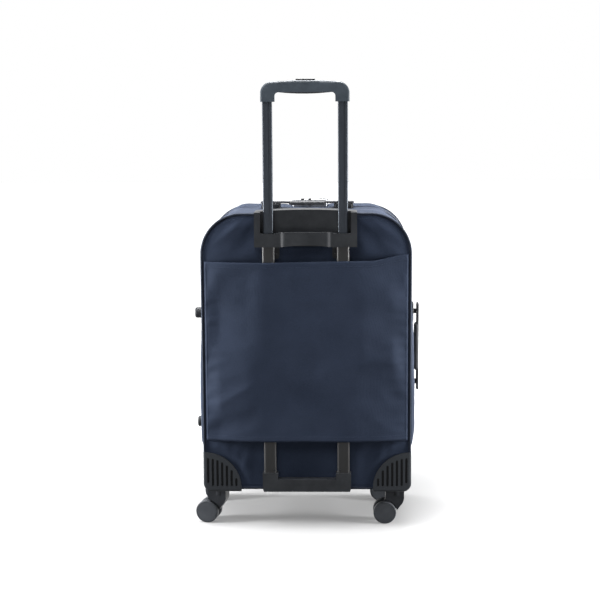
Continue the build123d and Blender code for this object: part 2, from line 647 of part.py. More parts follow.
with BuildPart() as grip_insert:
    with BuildSketch(facing_back(TUBE_Y + 6.3)):
        with BuildLine():
            ThreePointArc((-INSERT_HALF_W, INSERT_BOTTOM), (0, INSERT_BOTTOM - 3),
                          (INSERT_HALF_W, INSERT_BOTTOM))
            Polyline((INSERT_HALF_W, INSERT_BOTTOM), (INSERT_HALF_W - 0.2, INSERT_TOP),
                     (-INSERT_HALF_W + 0.2, INSERT_TOP), (-INSERT_HALF_W, INSERT_BOTTOM))
        make_face()
    extrude(amount=12.6)
write(grip_insert, "grip_insert")

with BuildPart() as release_button:
    with BuildSketch(Plane.XY.offset(YOKE_Z + ROD)):
        with Locations((BUTTON_X, TUBE_Y)):
            Rectangle(20, 4)
    extrude(amount=6)
    with BuildSketch(Plane.XY.offset(YOKE_Z + ROD + 5)):
        with Locations((BUTTON_X, TUBE_Y)):
            SlotOverall(BUTTON_L, BUTTON_W)
    extrude(amount=BUTTON_TOP - YOKE_Z - ROD - 5)
    fillet(release_button.edges().group_by(Axis.Z)[-1], 1.5)
write(release_button, "release_button")

# ---------------------------------------------------------------- fabric cover over the tubes
with BuildPart() as cover_panel:
    with BuildSketch(Plane.XY.offset(COVER_BOTTOM)):
        back = TUBE_BACK - 0.6
        with BuildLine():
            Polyline((-COVER_HALF_W, CASE_BACK - 0.4), (-COVER_FLAT_HALF_W, back),
                     (COVER_FLAT_HALF_W, back), (COVER_HALF_W, CASE_BACK - 0.4),
                     (COVER_HALF_W, CASE_BACK - 0.4 - COVER_T),
                     (COVER_FLAT_HALF_W, back - COVER_T), (-COVER_FLAT_HALF_W, back - COVER_T),
                     (-COVER_HALF_W, CASE_BACK - 0.4 - COVER_T), (-COVER_HALF_W, CASE_BACK - 0.4))
        make_face()
    extrude(amount=COVER_TOP - COVER_BOTTOM)
write(cover_panel, "cover_panel")

# ---------------------------------------------------------------- carry handles
MOUNT_H = 13.0
top_mount_spots = [(side * (TOP_LEG_X - 1), TOP_HANDLE_Y) for side in (-1, 1)]
side_mount_spots = [(SIDE_HANDLE_Y, SIDE_HANDLE_Z + side * (SIDE_LEG_Z + 1)) for side in (-1, 1)]

with BuildPart() as top_handle_mounts:
    with BuildSketch(Plane.XY.offset(CASE_TOP)):
        with Locations(*top_mount_spots):
            RectangleRounded(42, 28, 8)
    extrude(amount=MOUNT_H)
    fillet(top_handle_mounts.edges().group_by(Axis.Z)[-1], 2)
    with BuildSketch(Plane.XY.offset(CASE_TOP)):
        with Locations(*top_leg_spots):
            Rectangle(BOSS, BOSS)
    extrude(amount=-LEG_DEPTH)
    with BuildSketch(Plane.XY.offset(CASE_TOP + MOUNT_H + 1)):
        with Locations(*top_leg_spots):
            Rectangle(LEG_SOCKET, LEG_SOCKET)
    extrude(amount=-(LEG_DEPTH + MOUNT_H - 1), mode=Mode.SUBTRACT)
write(top_handle_mounts, "top_handle_mounts")

with BuildPart() as side_handle_mounts:
    with BuildSketch(RIGHT_SIDE.offset(CASE_HALF_W)):
        with Locations(*side_mount_spots):
            RectangleRounded(28, 42, 8)
    extrude(amount=MOUNT_H)
    fillet(side_handle_mounts.edges().group_by(Axis.X)[-1], 2)
    with BuildSketch(RIGHT_SIDE.offset(CASE_HALF_W)):
        with Locations(*side_leg_spots):
            Rectangle(BOSS, BOSS)
    extrude(amount=-LEG_DEPTH)
    with BuildSketch(RIGHT_SIDE.offset(CASE_HALF_W + MOUNT_H + 1)):
        with Locations(*side_leg_spots):
            Rectangle(LEG_SOCKET, LEG_SOCKET)
    extrude(amount=-(LEG_DEPTH + MOUNT_H - 1), mode=Mode.SUBTRACT)
write(side_handle_mounts, "side_handle_mounts")

TOP_STRAP_Z = CASE_TOP + MOUNT_H + 0.4
with BuildPart() as top_handle:
    with BuildSketch(Plane.XY.offset(TOP_STRAP_Z)):
        with Locations((0, TOP_HANDLE_Y)):
            RectangleRounded(204, 25, 6)
    extrude(amount=4)
    with BuildSketch(Plane.XY.offset(TOP_STRAP_Z - 3.6)):
        with Locations((0, TOP_HANDLE_Y)):
            RectangleRounded(80, 29, 6)
    extrude(amount=8.2)
    with BuildSketch(Plane.XY.offset(TOP_STRAP_Z)):
        with Locations(*top_leg_spots):
            Rectangle(LEG, LEG)
    extrude(amount=-(MOUNT_H + LEG_DEPTH - 3))
write(top_handle, "top_handle")

SIDE_STRAP_X = HALF_REACH - 5.0
with BuildPart() as side_handle:
    with BuildSketch(RIGHT_SIDE.offset(SIDE_STRAP_X)):
        with Locations((SIDE_HANDLE_Y, SIDE_HANDLE_Z)):
            RectangleRounded(25, 193, 6)
    extrude(amount=HALF_REACH - SIDE_STRAP_X)
    with BuildSketch(RIGHT_SIDE.offset(SIDE_STRAP_X - 5)):
        with Locations((SIDE_HANDLE_Y, SIDE_HANDLE_Z)):
            RectangleRounded(29, 104, 6)
    extrude(amount=9.5)
    with BuildSketch(RIGHT_SIDE.offset(SIDE_STRAP_X)):
        with Locations(*side_leg_spots):
            Rectangle(LEG, LEG)
    extrude(amount=-(SIDE_STRAP_X - CASE_HALF_W + LEG_DEPTH - 5))
write(side_handle, "side_handle")

# ---------------------------------------------------------------- side feet
with BuildPart() as side_feet:
    for height, reach in FEET:
        with BuildSketch(Plane(origin=(-CASE_HALF_W, FEET_Y, height),
                               x_dir=(0, 1, 0), z_dir=(-1, 0, 0))):
            Circle(FOOT_R + 3)
        extrude(amount=6)
        with BuildSketch(Plane(origin=(-CASE_HALF_W - 6, FEET_Y, height),
                               x_dir=(0, 1, 0), z_dir=(-1, 0, 0))):
            Circle(FOOT_R)
        extrude(amount=reach - 6)
    outer_rims = [side_feet.edges().filter_by(GeomType.CIRCLE).sort_by(
        lambda edge: (edge.center() - Vector(-CASE_HALF_W - reach, FEET_Y, height)).length)[0]
        for height, reach in FEET]
    fillet(outer_rims, 4)
write(side_feet, "side_feet")

# ---------------------------------------------------------------- packing straps inside the back
STRAP_HEIGHTS = (300.0, 480.0)
STRAP_Y = LINING_BACK + LINING_T
with BuildPart() as packing_straps:
    with BuildSketch(facing_back(STRAP_Y + 1.5)):
        with Locations(*[(0, height) for height in STRAP_HEIGHTS]):
            Rectangle(2 * (CASE_HALF_W - LINING_INSET - LINING_T), 25)
            Rectangle(40, 26, mode=Mode.SUBTRACT)
    extrude(amount=1.5)
write(packing_straps, "packing_straps")

with BuildPart() as strap_buckles:
    with BuildSketch(facing_back(STRAP_Y + 5)):
        with Locations(*[(0, height) for height in STRAP_HEIGHTS]):
            RectangleRounded(40, 32, 6)
    extrude(amount=5)
write(strap_buckles, "strap_buckles")

# ---------------------------------------------------------------- lid: the front from the zip forward
LID_Y = ZIP_Y + ZIP_W + LID_GAP
LID_BOTTOM = Plane.XY.offset(LID_FOLD_Z + LID_GAP)

with BuildPart() as lid_gusset:
    with BuildSketch(facing_back(FRONT_INNER)):
        add(case_ring(0, GUSSET_T))
    extrude(amount=FRONT_INNER - LID_Y)
    split(bisect_by=LID_BOTTOM, keep=Keep.TOP)
write(lid_gusset, "lid_gusset")

with BuildPart() as lid_panel:
    with BuildSketch(facing_back(CASE_FRONT)):
        add(case_outline(0))
    extrude(amount=PANEL_T)
    split(bisect_by=LID_BOTTOM, keep=Keep.TOP)
write(lid_panel, "lid_panel")

with BuildPart() as lid_board:
    with BuildSketch(facing_back(FRONT_INNER)):
        add(case_outline(GUSSET_T + 1))
    extrude(amount=PANEL_T)
    split(bisect_by=LID_BOTTOM, keep=Keep.TOP)
write(lid_board, "lid_board")


def pocket(half_w, bottom, top, depth):
    """Closed outside pocket, flat at the back and softly rounded in front."""
    with BuildPart() as piece:
        with BuildSketch(facing_back(CASE_FRONT + depth)):
            with Locations((0, (bottom + top) / 2)):
                RectangleRounded(2 * half_w, top - bottom, 22)
        extrude(amount=depth)
        fillet(piece.edges().group_by(Axis.Y)[-1], min(depth, 20) * 0.6)
    return piece


write(pocket(150, 452, 622, 13.5), "pocket_upper")
write(pocket(172, 192, 432, FRONT_REACH - CASE_FRONT), "pocket_lower")

# ---------------------------------------------------------------- lock and its two zip pulls
LOCK_MID_Y = (LOCK_Y0 + LOCK_Y1) / 2
with BuildPart() as lock_case:
    with BuildSketch(Plane.XY.offset(CASE_TOP)):
        with Locations(((LOCK_X0 + LOCK_X1) / 2, LOCK_MID_Y)):
            RectangleRounded(LOCK_X1 - LOCK_X0, LOCK_Y1 - LOCK_Y0, 7)
    extrude(amount=LOCK_TOP - CASE_TOP)
    fillet(lock_case.edges().group_by(Axis.Z)[-1], 2.5)
    # A slot for each pull, open above and towards the zip.
    with BuildSketch(Plane.XY.offset(CASE_TOP + 5)):
        with Locations(*[(x, LOCK_Y0 + 8) for x in PULL_X]):
            Rectangle(7.6, 20)
    extrude(amount=20, mode=Mode.SUBTRACT)
    with BuildSketch(Plane.XY.offset(LOCK_TOP - 5)):
        with Locations((LOCK_BUTTON_X, LOCK_MID_Y)):
            SlotOverall(17, 11)
    extrude(amount=6, mode=Mode.SUBTRACT)
write(lock_case, "lock_case")

with BuildPart() as lock_button:
    with BuildSketch(Plane.XY.offset(LOCK_TOP - 2.6)):
        with Locations((LOCK_BUTTON_X, LOCK_MID_Y)):
            SlotOverall(16.2, 10.2)
    extrude(amount=3.4)
    fillet(lock_button.edges().group_by(Axis.Z)[-1], 0.8)
write(lock_button, "lock_button")


def zip_pull(x):
    """Pull tab: an eye over the slider and a flat tongue that ends in the lock's slot."""
    with BuildPart() as piece:
        with BuildSketch(Plane(origin=(x - 3, PULL_PIVOT_Y, PULL_PIVOT_Z),
                               x_dir=(0, 1, 0), z_dir=(1, 0, 0))):
            with Locations(Rotation(0, 0, PULL_TILT)):
                with Locations((11.5, 0)):
                    SlotOverall(28, 3.6)
                with Locations((24, 1.2)):
                    Circle(2.6)
        extrude(amount=6)
    return piece


write(zip_pull(PULL_X[0]), "zip_pull_left")
write(zip_pull(PULL_X[1]), "zip_pull_right")
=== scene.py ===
"""Soft-sided spinner suitcase seen from its back, on a pale floor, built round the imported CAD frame."""
import json
import math

import bmesh
import bpy
import numpy as np
from mathutils import Matrix, Vector, noise
from mathutils.bvhtree import BVHTree


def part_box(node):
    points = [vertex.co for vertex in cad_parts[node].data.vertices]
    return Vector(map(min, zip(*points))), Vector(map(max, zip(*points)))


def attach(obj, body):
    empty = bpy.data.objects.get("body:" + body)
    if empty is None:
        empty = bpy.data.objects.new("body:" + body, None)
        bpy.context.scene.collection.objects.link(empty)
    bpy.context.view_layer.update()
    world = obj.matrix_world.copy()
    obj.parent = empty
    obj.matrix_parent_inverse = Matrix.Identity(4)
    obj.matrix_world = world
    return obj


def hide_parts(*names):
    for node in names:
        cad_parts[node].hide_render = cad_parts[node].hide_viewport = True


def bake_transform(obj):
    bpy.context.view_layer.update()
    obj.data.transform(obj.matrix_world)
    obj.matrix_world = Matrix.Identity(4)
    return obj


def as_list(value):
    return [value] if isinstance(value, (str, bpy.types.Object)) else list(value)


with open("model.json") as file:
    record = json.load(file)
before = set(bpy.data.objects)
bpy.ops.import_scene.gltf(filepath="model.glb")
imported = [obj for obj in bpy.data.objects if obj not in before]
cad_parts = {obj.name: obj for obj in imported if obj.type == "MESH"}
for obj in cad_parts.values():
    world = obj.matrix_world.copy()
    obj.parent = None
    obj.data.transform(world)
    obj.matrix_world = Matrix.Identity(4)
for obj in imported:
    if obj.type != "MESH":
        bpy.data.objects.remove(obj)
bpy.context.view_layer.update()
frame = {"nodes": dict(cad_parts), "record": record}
nodes = frame["nodes"]

# ---------------- places taken from the frame
PANEL_LOW, PANEL_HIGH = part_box("rear_panel")
LID_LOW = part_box("lid_gusset")[0]
APRON_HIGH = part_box("front_apron")[1]
HALF_W = PANEL_HIGH.x
BOTTOM, TOP = PANEL_LOW.z, PANEL_HIGH.z
BACK_Y = PANEL_LOW.y                       # outer face of the back panel
FRONT_Y = APRON_HIGH.y                     # outer face of the front panel
FOLD_Z = (APRON_HIGH.z + LID_LOW.z) / 2    # the lid turns about this height
ZIP_BACK = LID_LOW.y - 0.0035              # edge of the main zip nearer the back panel
ZIP_MID = LID_LOW.y - 0.0018               # where its teeth meet
WELT_Y = 0.002                             # seam half-way round the gusset
R_TOP, R_BOTTOM = 0.084, 0.014             # corners of the body's outline

# ---------------- sizes of the cloth and its trimmings
GUSSET_T, PANEL_T, COVER_T, LINING_T, STRAP_T = 0.003, 0.002, 0.0011, 0.0012, 0.0012
SEAM_GAP, EDGE_GAP = 0.0006, 0.0005        # from a seam's line, or a panel's face, to the edge of the cloth
PIPING_R, WELT_R, POCKET_PIPING_R = 0.0030, 0.0016, 0.0022
STEP = 0.006                               # spacing of points along an outline
TAU = 2 * math.pi


# ---------------- node trees
def feed(tree, socket, value):
    """Link another node's output to the socket, or set the socket to a value."""
    if isinstance(value, bpy.types.NodeSocket):
        tree.links.new(value, socket)
    else:
        socket.default_value = value


def add_node(tree, kind, inputs=None, **settings):
    made = tree.nodes.new(kind)
    for key, value in settings.items():
        setattr(made, key, value)
    for key, value in (inputs or {}).items():
        feed(tree, made.inputs[key], value)
    return made


class Shader:
    """Builds one procedural material, node by node."""

    def __init__(self, name):
        self.material = bpy.data.materials.new(name)
        self.material.use_nodes = True
        self.tree = self.material.node_tree
        self.surface = self.tree.nodes["Principled BSDF"]
        self.place = self.node("ShaderNodeTexCoord").outputs["Object"]

    def node(self, kind, inputs=None, **settings):
        return add_node(self.tree, kind, inputs, **settings)

    def set(self, **values):
        for key, value in values.items():
            feed(self.tree, self.surface.inputs[key.replace("_", " ")], value)

    def math(self, operation, a, b=0.0):
        return self.node("ShaderNodeMath", {0: a, 1: b}, operation=operation).outputs[0]

    def vector(self, operation, a, b=(0.0, 0.0, 0.0)):
        return self.node("ShaderNodeVectorMath", {0: a, 1: b}, operation=operation).outputs

    def noise(self, scale, detail=3.0, rough=0.55, stretch=(1, 1, 1)):
        place = self.node("ShaderNodeMapping", {"Vector": self.place, "Scale": stretch}).outputs[0]
        return self.node("ShaderNodeTexNoise", {"Vector": place, "Scale": scale, "Detail": detail,
                                                "Roughness": rough}).outputs["Fac"]

    def ramp(self, value, stops):
        """One colour blending into another; stops are their two (position, colour)."""
        made = self.node("ShaderNodeValToRGB", {"Fac": value})
        for element, (position, colour) in zip(made.color_ramp.elements, stops):
            element.position = position
            element.color = (*colour, 1.0)
        return made.outputs["Color"]

    def spread(self, value, low, high, start=0.0, stop=1.0, blend="LINEAR"):
        """low to high as the value goes from start to stop."""
        ends = {"From Min": start, "From Max": stop, "To Min": low, "To Max": high}
        return self.node("ShaderNodeMapRange", {"Value": value, **ends}, interpolation_type=blend).outputs[0]

    def weave(self, pitch):
        """Two sets of threads at this pitch, in metres, on a face that looks any way."""
        turned = self.vector("MULTIPLY", self.place, (math.pi / pitch,) * 3)[0]
        crests = self.vector("ABSOLUTE", self.vector("SINE", turned)[0])[0]
        parts = self.node("ShaderNodeSeparateXYZ", {0: crests}).outputs
        return self.math("ADD", self.math("ADD", parts[0], parts[1]), parts[2])

    def bump(self, height, distance, strength=1.0, below=None):
        inputs = {"Height": height, "Distance": distance, "Strength": strength}
        if below is not None:
            inputs["Normal"] = below
        return self.node("ShaderNodeBump", inputs).outputs["Normal"]


def fabric(name, dark, light, sheen, rough=0.75, pitch=0.0011):
    """Woven cloth: thread relief, heathered colour and a soft sheen."""
    s = Shader(name)
    threads = s.weave(pitch)
    heather = s.noise(900, 2.0, 0.7)
    patches = s.noise(9, 3.0, 0.5)
    tone = s.math("ADD", s.math("MULTIPLY", patches, 0.45), s.math("MULTIPLY", heather, 0.55))
    s.set(Base_Color=s.ramp(tone, [(0.32, dark), (0.68, light)]),
          Roughness=s.spread(patches, rough - 0.06, rough + 0.06),
          Normal=s.bump(threads, 0.00012, 0.4, s.bump(s.noise(60, 3.0), 0.0006, 0.35)))
    s.set(Sheen_Weight=sheen, Sheen_Roughness=0.3, Sheen_Tint=(0.6, 0.7, 0.95, 1.0),
          Specular_IOR_Level=0.2, Specular_Tint=(0.5, 0.66, 1.0, 1.0))
    return s.material


def moulded(name, dark, light, rough=0.5, grain=0.00006, specular=0.26):
    """Moulded plastic with a fine spark-eroded grain and faint scuffs."""
    s = Shader(name)
    fine = s.noise(2600, 2.0, 0.6)
    scuff = s.noise(26, 5.0, 0.65)
    s.set(Base_Color=s.ramp(scuff, [(0.35, dark), (0.72, light)]),
          Roughness=s.spread(scuff, rough - 0.08, rough + 0.1),
          Normal=s.bump(fine, grain, 0.6), Specular_IOR_Level=specular)
    return s.material


def groove_shaded(name, dark, light, low, high, depth):
    """Moulded plastic with painted shade: the grooves cut between its ribs are painted darker and the ribs
    paler, as if lit.

    low and high are the far corners of the faces that the ribs stand in, and depth is how deep a groove is.
    """
    s = Shader(name)
    middle = [(a + b) / 2 for a, b in zip(low, high)]
    reach = [(b - a) / 2 for a, b in zip(low, high)]
    spans = s.vector("ABSOLUTE", s.vector("SUBTRACT", s.place, middle)[0])[0]
    parts = s.node("ShaderNodeSeparateXYZ", {0: spans}).outputs
    near = [s.spread(part, 0.0, 1.0, far - depth, far - 0.25 * depth) for part, far in zip(parts, reach)]
    ridge = s.math("MAXIMUM", s.math("MAXIMUM", near[0], near[1]), near[2])
    scuff = s.noise(26, 5.0, 0.65)
    # Painted shade in the grooves and painted light on the ribs' outer faces, mixed with random scuffs.
    tone = s.math("ADD", s.math("MULTIPLY", ridge, 0.75), s.math("MULTIPLY", scuff, 0.25))
    s.set(Base_Color=s.ramp(tone, [(0.12, dark), (0.95, light)]), Roughness=s.spread(scuff, 0.40, 0.56),
          Normal=s.bump(s.noise(2600, 2.0, 0.6), 0.00006, 0.6), Specular_IOR_Level=0.16)
    return s.material


def metal(name, dark, light, rough, metallic=1.0):
    """Drawn metal, its streaks upright."""
    s = Shader(name)
    streaks = s.noise(30, 4.0, 0.6, (60, 60, 1))
    s.set(Base_Color=s.ramp(streaks, [(0.3, dark), (0.7, light)]),
          Roughness=s.spread(streaks, rough - 0.05, rough + 0.07),
          Normal=s.bump(streaks, 0.00003, 0.5), Metallic=metallic)
    return s.material


def rubber(name, dark, light):
    """Soft-touch rubber: very matt, with a slight bloom."""
    s = Shader(name)
    mottle = s.noise(45, 4.0, 0.6)
    s.set(Base_Color=s.ramp(mottle, [(0.35, dark), (0.7, light)]),
          Roughness=s.spread(mottle, 0.58, 0.74), Normal=s.bump(s.noise(1800, 2.0), 0.00005, 0.6),
          Sheen_Weight=0.15, Sheen_Roughness=0.5, Specular_IOR_Level=0.4)
    return s.material


def webbing(name, dark, light):
    """Ribbed woven tape."""
    s = Shader(name)
    ribs = s.weave(0.0016)
    s.set(Base_Color=s.ramp(s.noise(500, 2.0), [(0.35, dark), (0.7, light)]),
          Roughness=s.spread(ribs, 0.6, 0.8), Normal=s.bump(ribs, 0.0004, 0.8),
          Sheen_Weight=0.3, Sheen_Roughness=0.4)
    return s.material


NAVY = fabric("navy_polyester", (0.0085, 0.0119, 0.0212), (0.0205, 0.0270, 0.0450), 0.08, rough=0.72)
NAVY_THREAD = fabric("navy_thread", (0.012, 0.016, 0.029), (0.023, 0.030, 0.050), 0.1, pitch=0.0005)
PIPING = fabric("black_piping", (0.006, 0.007, 0.010), (0.014, 0.016, 0.022), 0.15, rough=0.55)
LINING = fabric("grey_lining", (0.10, 0.105, 0.12), (0.15, 0.155, 0.17), 0.2, pitch=0.0007)
TAPE = webbing("zip_tape", (0.008, 0.009, 0.013), (0.018, 0.02, 0.028))
STRAP = webbing("black_webbing", (0.009, 0.010, 0.013), (0.022, 0.024, 0.03))
BLACK_MOULDED = moulded("black_moulded", (0.0125, 0.014, 0.0165), (0.023, 0.025, 0.0285), 0.46, specular=0.2)
CASTER_GREY = moulded("caster_grey", (0.0125, 0.014, 0.017), (0.023, 0.025, 0.029), 0.44, specular=0.2)
WHEEL = moulded("wheel_grey", (0.0330, 0.0360, 0.0415), (0.0480, 0.0520, 0.0590), specular=0.2)
GRIP = moulded("grip_slate", (0.029, 0.037, 0.047), (0.046, 0.057, 0.070), 0.4)
GLOSS_BLACK = moulded("gloss_black", (0.006, 0.006, 0.007), (0.012, 0.012, 0.014), 0.22, grain=0.00001)
NYLON = moulded("nylon", (0.03, 0.03, 0.031), (0.05, 0.05, 0.052))
BOARD = moulded("board", (0.05, 0.05, 0.053), (0.08, 0.08, 0.085), 0.6)
TUBE = metal("tube_anodised", (0.026, 0.031, 0.040), (0.042, 0.050, 0.062), 0.42, 0.6)
OUTER_TUBE = metal("tube_black_coat", (0.0040, 0.0041, 0.0046), (0.0085, 0.0086, 0.0093), 0.5, 0.2)
STEEL = metal("plated_steel", (0.42, 0.42, 0.43), (0.62, 0.62, 0.64), 0.3)
SILVER = metal("lock_silver", (0.22, 0.23, 0.24), (0.36, 0.37, 0.39), 0.36, 0.9)
DARK_STEEL = metal("blackened_steel", (0.02, 0.021, 0.023), (0.04, 0.041, 0.044), 0.35, 0.9)
GUARD_LOW, GUARD_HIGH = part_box("guard_rear_left")[0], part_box("guard_front_right")[1]
ABOVE_ALL = 2.0                            # a height past the guards, so their tops are not painted paler like the ribs
GROOVE_DEPTH = 0.0022
# The guards' ribs and grooves carry painted light and painted shade.
GUARD = groove_shaded("guard_moulded", (0.0030, 0.0035, 0.0045), (0.0250, 0.0280, 0.0325),
                GUARD_LOW, (GUARD_HIGH.x, GUARD_HIGH.y, ABOVE_ALL), GROOVE_DEPTH)
RUBBER = rubber("soft_rubber", (0.013, 0.014, 0.017), (0.028, 0.030, 0.035))
TREAD = rubber("wheel_polyurethane", (0.010, 0.011, 0.013), (0.022, 0.024, 0.028))


# ---------------- mesh helpers
def mesh_object(name, verts, faces, material, smooth=True):
    mesh = bpy.data.meshes.new(name)
    mesh.from_pydata([tuple(v) for v in verts], [], [tuple(f) for f in faces])
    mesh.validate()
    mesh.update()
    made = bpy.data.objects.new(name, mesh)
    bpy.context.scene.collection.objects.link(made)
    mesh.materials.append(material)
    turn_outwards(mesh)
    if smooth:
        smooth_shading(mesh)
    return made


def smooth_shading(mesh):
    for polygon in mesh.polygons:
        polygon.use_smooth = True


def turn_outwards(mesh):
    bm = bmesh.new()
    bm.from_mesh(mesh)
    bmesh.ops.recalc_face_normals(bm, faces=bm.faces)
    bm.to_mesh(mesh)
    bm.free()


def grid_faces(rows, cols, offset=0, close_rows=False, close_cols=False):
    """Quads over a rows x cols grid of vertices, row by row."""
    faces = []
    for i in range(rows if close_rows else rows - 1):
        for j in range(cols if close_cols else cols - 1):
            a, b = i, (i + 1) % rows
            c, d = j, (j + 1) % cols
            faces.append((offset + a * cols + c, offset + a * cols + d,
                          offset + b * cols + d, offset + b * cols + c))
    return faces


def sheet_faces(rows, cols, ring=False):
    """A grid, the same turned over behind it, and the rim between them; ring joins last row to first."""
    count = rows * cols
    faces = grid_faces(rows, cols, 0, ring) + [f[::-1] for f in grid_faces(rows, cols, count, ring)]
    for i in range(rows if ring else rows - 1):
        for edge in (0, cols - 1):
            a, b = i * cols + edge, (i + 1) % rows * cols + edge
            faces.append((a, b, count + b, count + a))
    for i in () if ring else (0, rows - 1):
        for a in range(i * cols, (i + 1) * cols - 1):
            faces.append((a, a + 1, count + a + 1, count + a))
    return faces


def tooth_faces(base):
    """A small block between two rings of four vertices."""
    ends = [(base, base + 1, base + 2, base + 3), (base + 7, base + 6, base + 5, base + 4)]
    return ends + [(base + k, base + (k + 1) % 4, base + 4 + (k + 1) % 4, base + 4 + k) for k in range(4)]


class Outline:
    """The body's upright outline as rows of (x, z, outward x, outward z), and its length."""

    def __init__(self, step=STEP, z_from=None, z_to=None):
        corners = [(HALF_W - R_BOTTOM, BOTTOM + R_BOTTOM, R_BOTTOM, -90, 0),
                   (HALF_W - R_TOP, TOP - R_TOP, R_TOP, 0, 90),
                   (-HALF_W + R_TOP, TOP - R_TOP, R_TOP, 90, 180),
                   (-HALF_W + R_BOTTOM, BOTTOM + R_BOTTOM, R_BOTTOM, 180, 270)]
        points = []
        last = np.array([0.0, BOTTOM])
        for cx, cz, r, start, stop in corners:
            first = np.array([cx + r * math.cos(math.radians(start)), cz + r * math.sin(math.radians(start))])
            self._line(points, last, first, step)
            count = max(4, int(r * math.pi / 2 / step))
            for k in range(count):
                a = math.radians(start + (stop - start) * k / count)
                points.append((cx + r * math.cos(a), cz + r * math.sin(a), math.cos(a), math.sin(a)))
            a = math.radians(stop)
            last = np.array([cx + r * math.cos(a), cz + r * math.sin(a)])
        self._line(points, last, np.array([0.0, BOTTOM]), step)
        self.closed = z_from is None and z_to is None
        if not self.closed:
            points = self._clip(points, z_from, z_to)
        self.points = np.array(points)
        gaps = np.linalg.norm(np.diff(self.points[:, :2], axis=0), axis=1)
        closing = np.linalg.norm(self.points[0, :2] - self.points[-1, :2]) if self.closed else 0
        self.length = gaps.sum() + closing

    def _line(self, points, a, b, step):
        span = b - a
        length = np.linalg.norm(span)
        normal = np.array([span[1], -span[0]]) / length
        count = max(1, int(round(length / step)))
        for k in range(count):
            p = a + span * k / count
            points.append((p[0], p[1], normal[0], normal[1]))

    def _clip(self, points, z_from, z_to):
        """The part above z_from, or below z_to, as one open run that ends at that height."""
        side, limit = (1, z_from) if z_to is None else (-1, z_to)
        kept = [(p[1] - limit) * side > 1e-4 for p in points]
        start = next(i for i in range(len(points)) if kept[i] and not kept[i - 1])
        turned, kept = points[start:] + points[:start], kept[start:] + kept[:start]
        run = turned[:kept.index(False)]
        return [(run[0][0], limit, *run[0][2:])] + run + [(run[-1][0], limit, *run[-1][2:])]


def band(name, outline, ys, grow, thickness, material):
    """A closed wall round the outline: grow(x, y, z) is how far the outer face stands out."""
    outer, inner = [], []
    for px, pz, nx, nz in outline.points:
        for y in ys:
            g = grow(px, y, pz)
            outer.append((px + nx * g, y, pz + nz * g))
            inner.append((px + nx * (g - thickness), y, pz + nz * (g - thickness)))
    faces = sheet_faces(len(outline.points), len(ys), outline.closed)
    return mesh_object(name, outer + inner, faces, material)


def end_caps(rows, cols):
    """The two faces that close a tube of rows rings, cols vertices each."""
    return [tuple(range(cols)), tuple(range(rows * cols - 1, (rows - 1) * cols - 1, -1))]


def cord(name, path, radius, closed, sides=10):
    """A round cord; path is a list of (centre, unit vector outwards), and every outwards is square to y."""
    verts = []
    for centre, away in path:
        for k in range(sides):
            a = TAU * k / sides
            spoke = Vector(away) * math.cos(a) + Vector((0, math.sin(a), 0))
            verts.append(Vector(centre) + spoke * radius)
    faces = grid_faces(len(path), sides, 0, closed, True)
    if not closed:
        faces += end_caps(len(path), sides)
    return mesh_object(name, verts, faces, PIPING)


def ring_cord(name, outline, y, radius, grow=None, sides=10):
    """Piping round the outline at depth y, standing grow(x, y, z) out of it."""
    path = []
    for px, pz, nx, nz in outline.points:
        g = grow(px, y, pz) if grow else 0.0
        path.append(((px + nx * g, y, pz + nz * g), (nx, 0, nz)))
    return cord(name, path, radius, outline.closed, sides)


def stitches(name, path, width):
    """A row of thread: path is a list of (point, outward normal)."""
    length, gap = 0.0032, 0.0014
    points = [Vector(p) for p, _ in path]
    normals = [Vector(n).normalized() for _, n in path]
    verts, faces = [], []
    pitch = length + gap
    reach, following = 0.0, pitch / 2
    for a, b, na in zip(points, points[1:], normals):
        span = (b - a).length
        while span > 1e-9 and following < reach + span:
            centre = a.lerp(b, (following - reach) / span)
            along = (b - a).normalized() * (length / 2)
            across = along.normalized().cross(na) * (width / 2)
            lift = na * (width * 0.55)
            base = len(verts)
            for end, size in ((-1, 0.45), (-0.7, 1), (0.7, 1), (1, 0.45)):
                for side, up in ((-1, -0.3), (-0.6, 1), (0.6, 1), (1, -0.3)):
                    verts.append(centre + along * end + across * side * size + lift * up * size)
            faces += grid_faces(4, 4, base, close_cols=True)
            faces += [(base, base + 1, base + 2, base + 3), (base + 15, base + 14, base + 13, base + 12)]
            following += pitch
        reach += span
    return mesh_object(name, verts, faces, NAVY_THREAD)


def half_width(z, inset=0.0):
    """Half the body's width at height z, less inset."""
    reach = HALF_W
    if z < BOTTOM + R_BOTTOM:
        fall = BOTTOM + R_BOTTOM - z
        reach = HALF_W - R_BOTTOM + math.sqrt(max(R_BOTTOM ** 2 - fall ** 2, 0))
    if z > TOP - R_TOP:
        rise = z - (TOP - R_TOP)
        reach = HALF_W - R_TOP + math.sqrt(max(R_TOP ** 2 - rise ** 2, 0))
    return reach - inset


def edge_distance(x, z):
    """Rough distance inside the body's outline."""
    dx, dz = HALF_W - abs(x), min(z - BOTTOM, TOP - z)
    if z > TOP - R_TOP and abs(x) > HALF_W - R_TOP:
        return R_TOP - math.hypot(abs(x) - (HALF_W - R_TOP), z - (TOP - R_TOP))
    return max(min(dx, dz), 0.0)


def row_heights(z_from, z_to, step):
    """Heights for a panel's rows, closer together where the corners are round."""
    heights = []
    z = z_from
    while z < z_to - 1e-5:
        heights.append(z)
        fine = z > TOP - R_TOP * 0.5 or z < BOTTOM + R_BOTTOM
        top_fine = z > TOP - 0.012
        z += step * (0.22 if top_fine else 0.5 if fine else 1.0)
    return heights + [z_to]


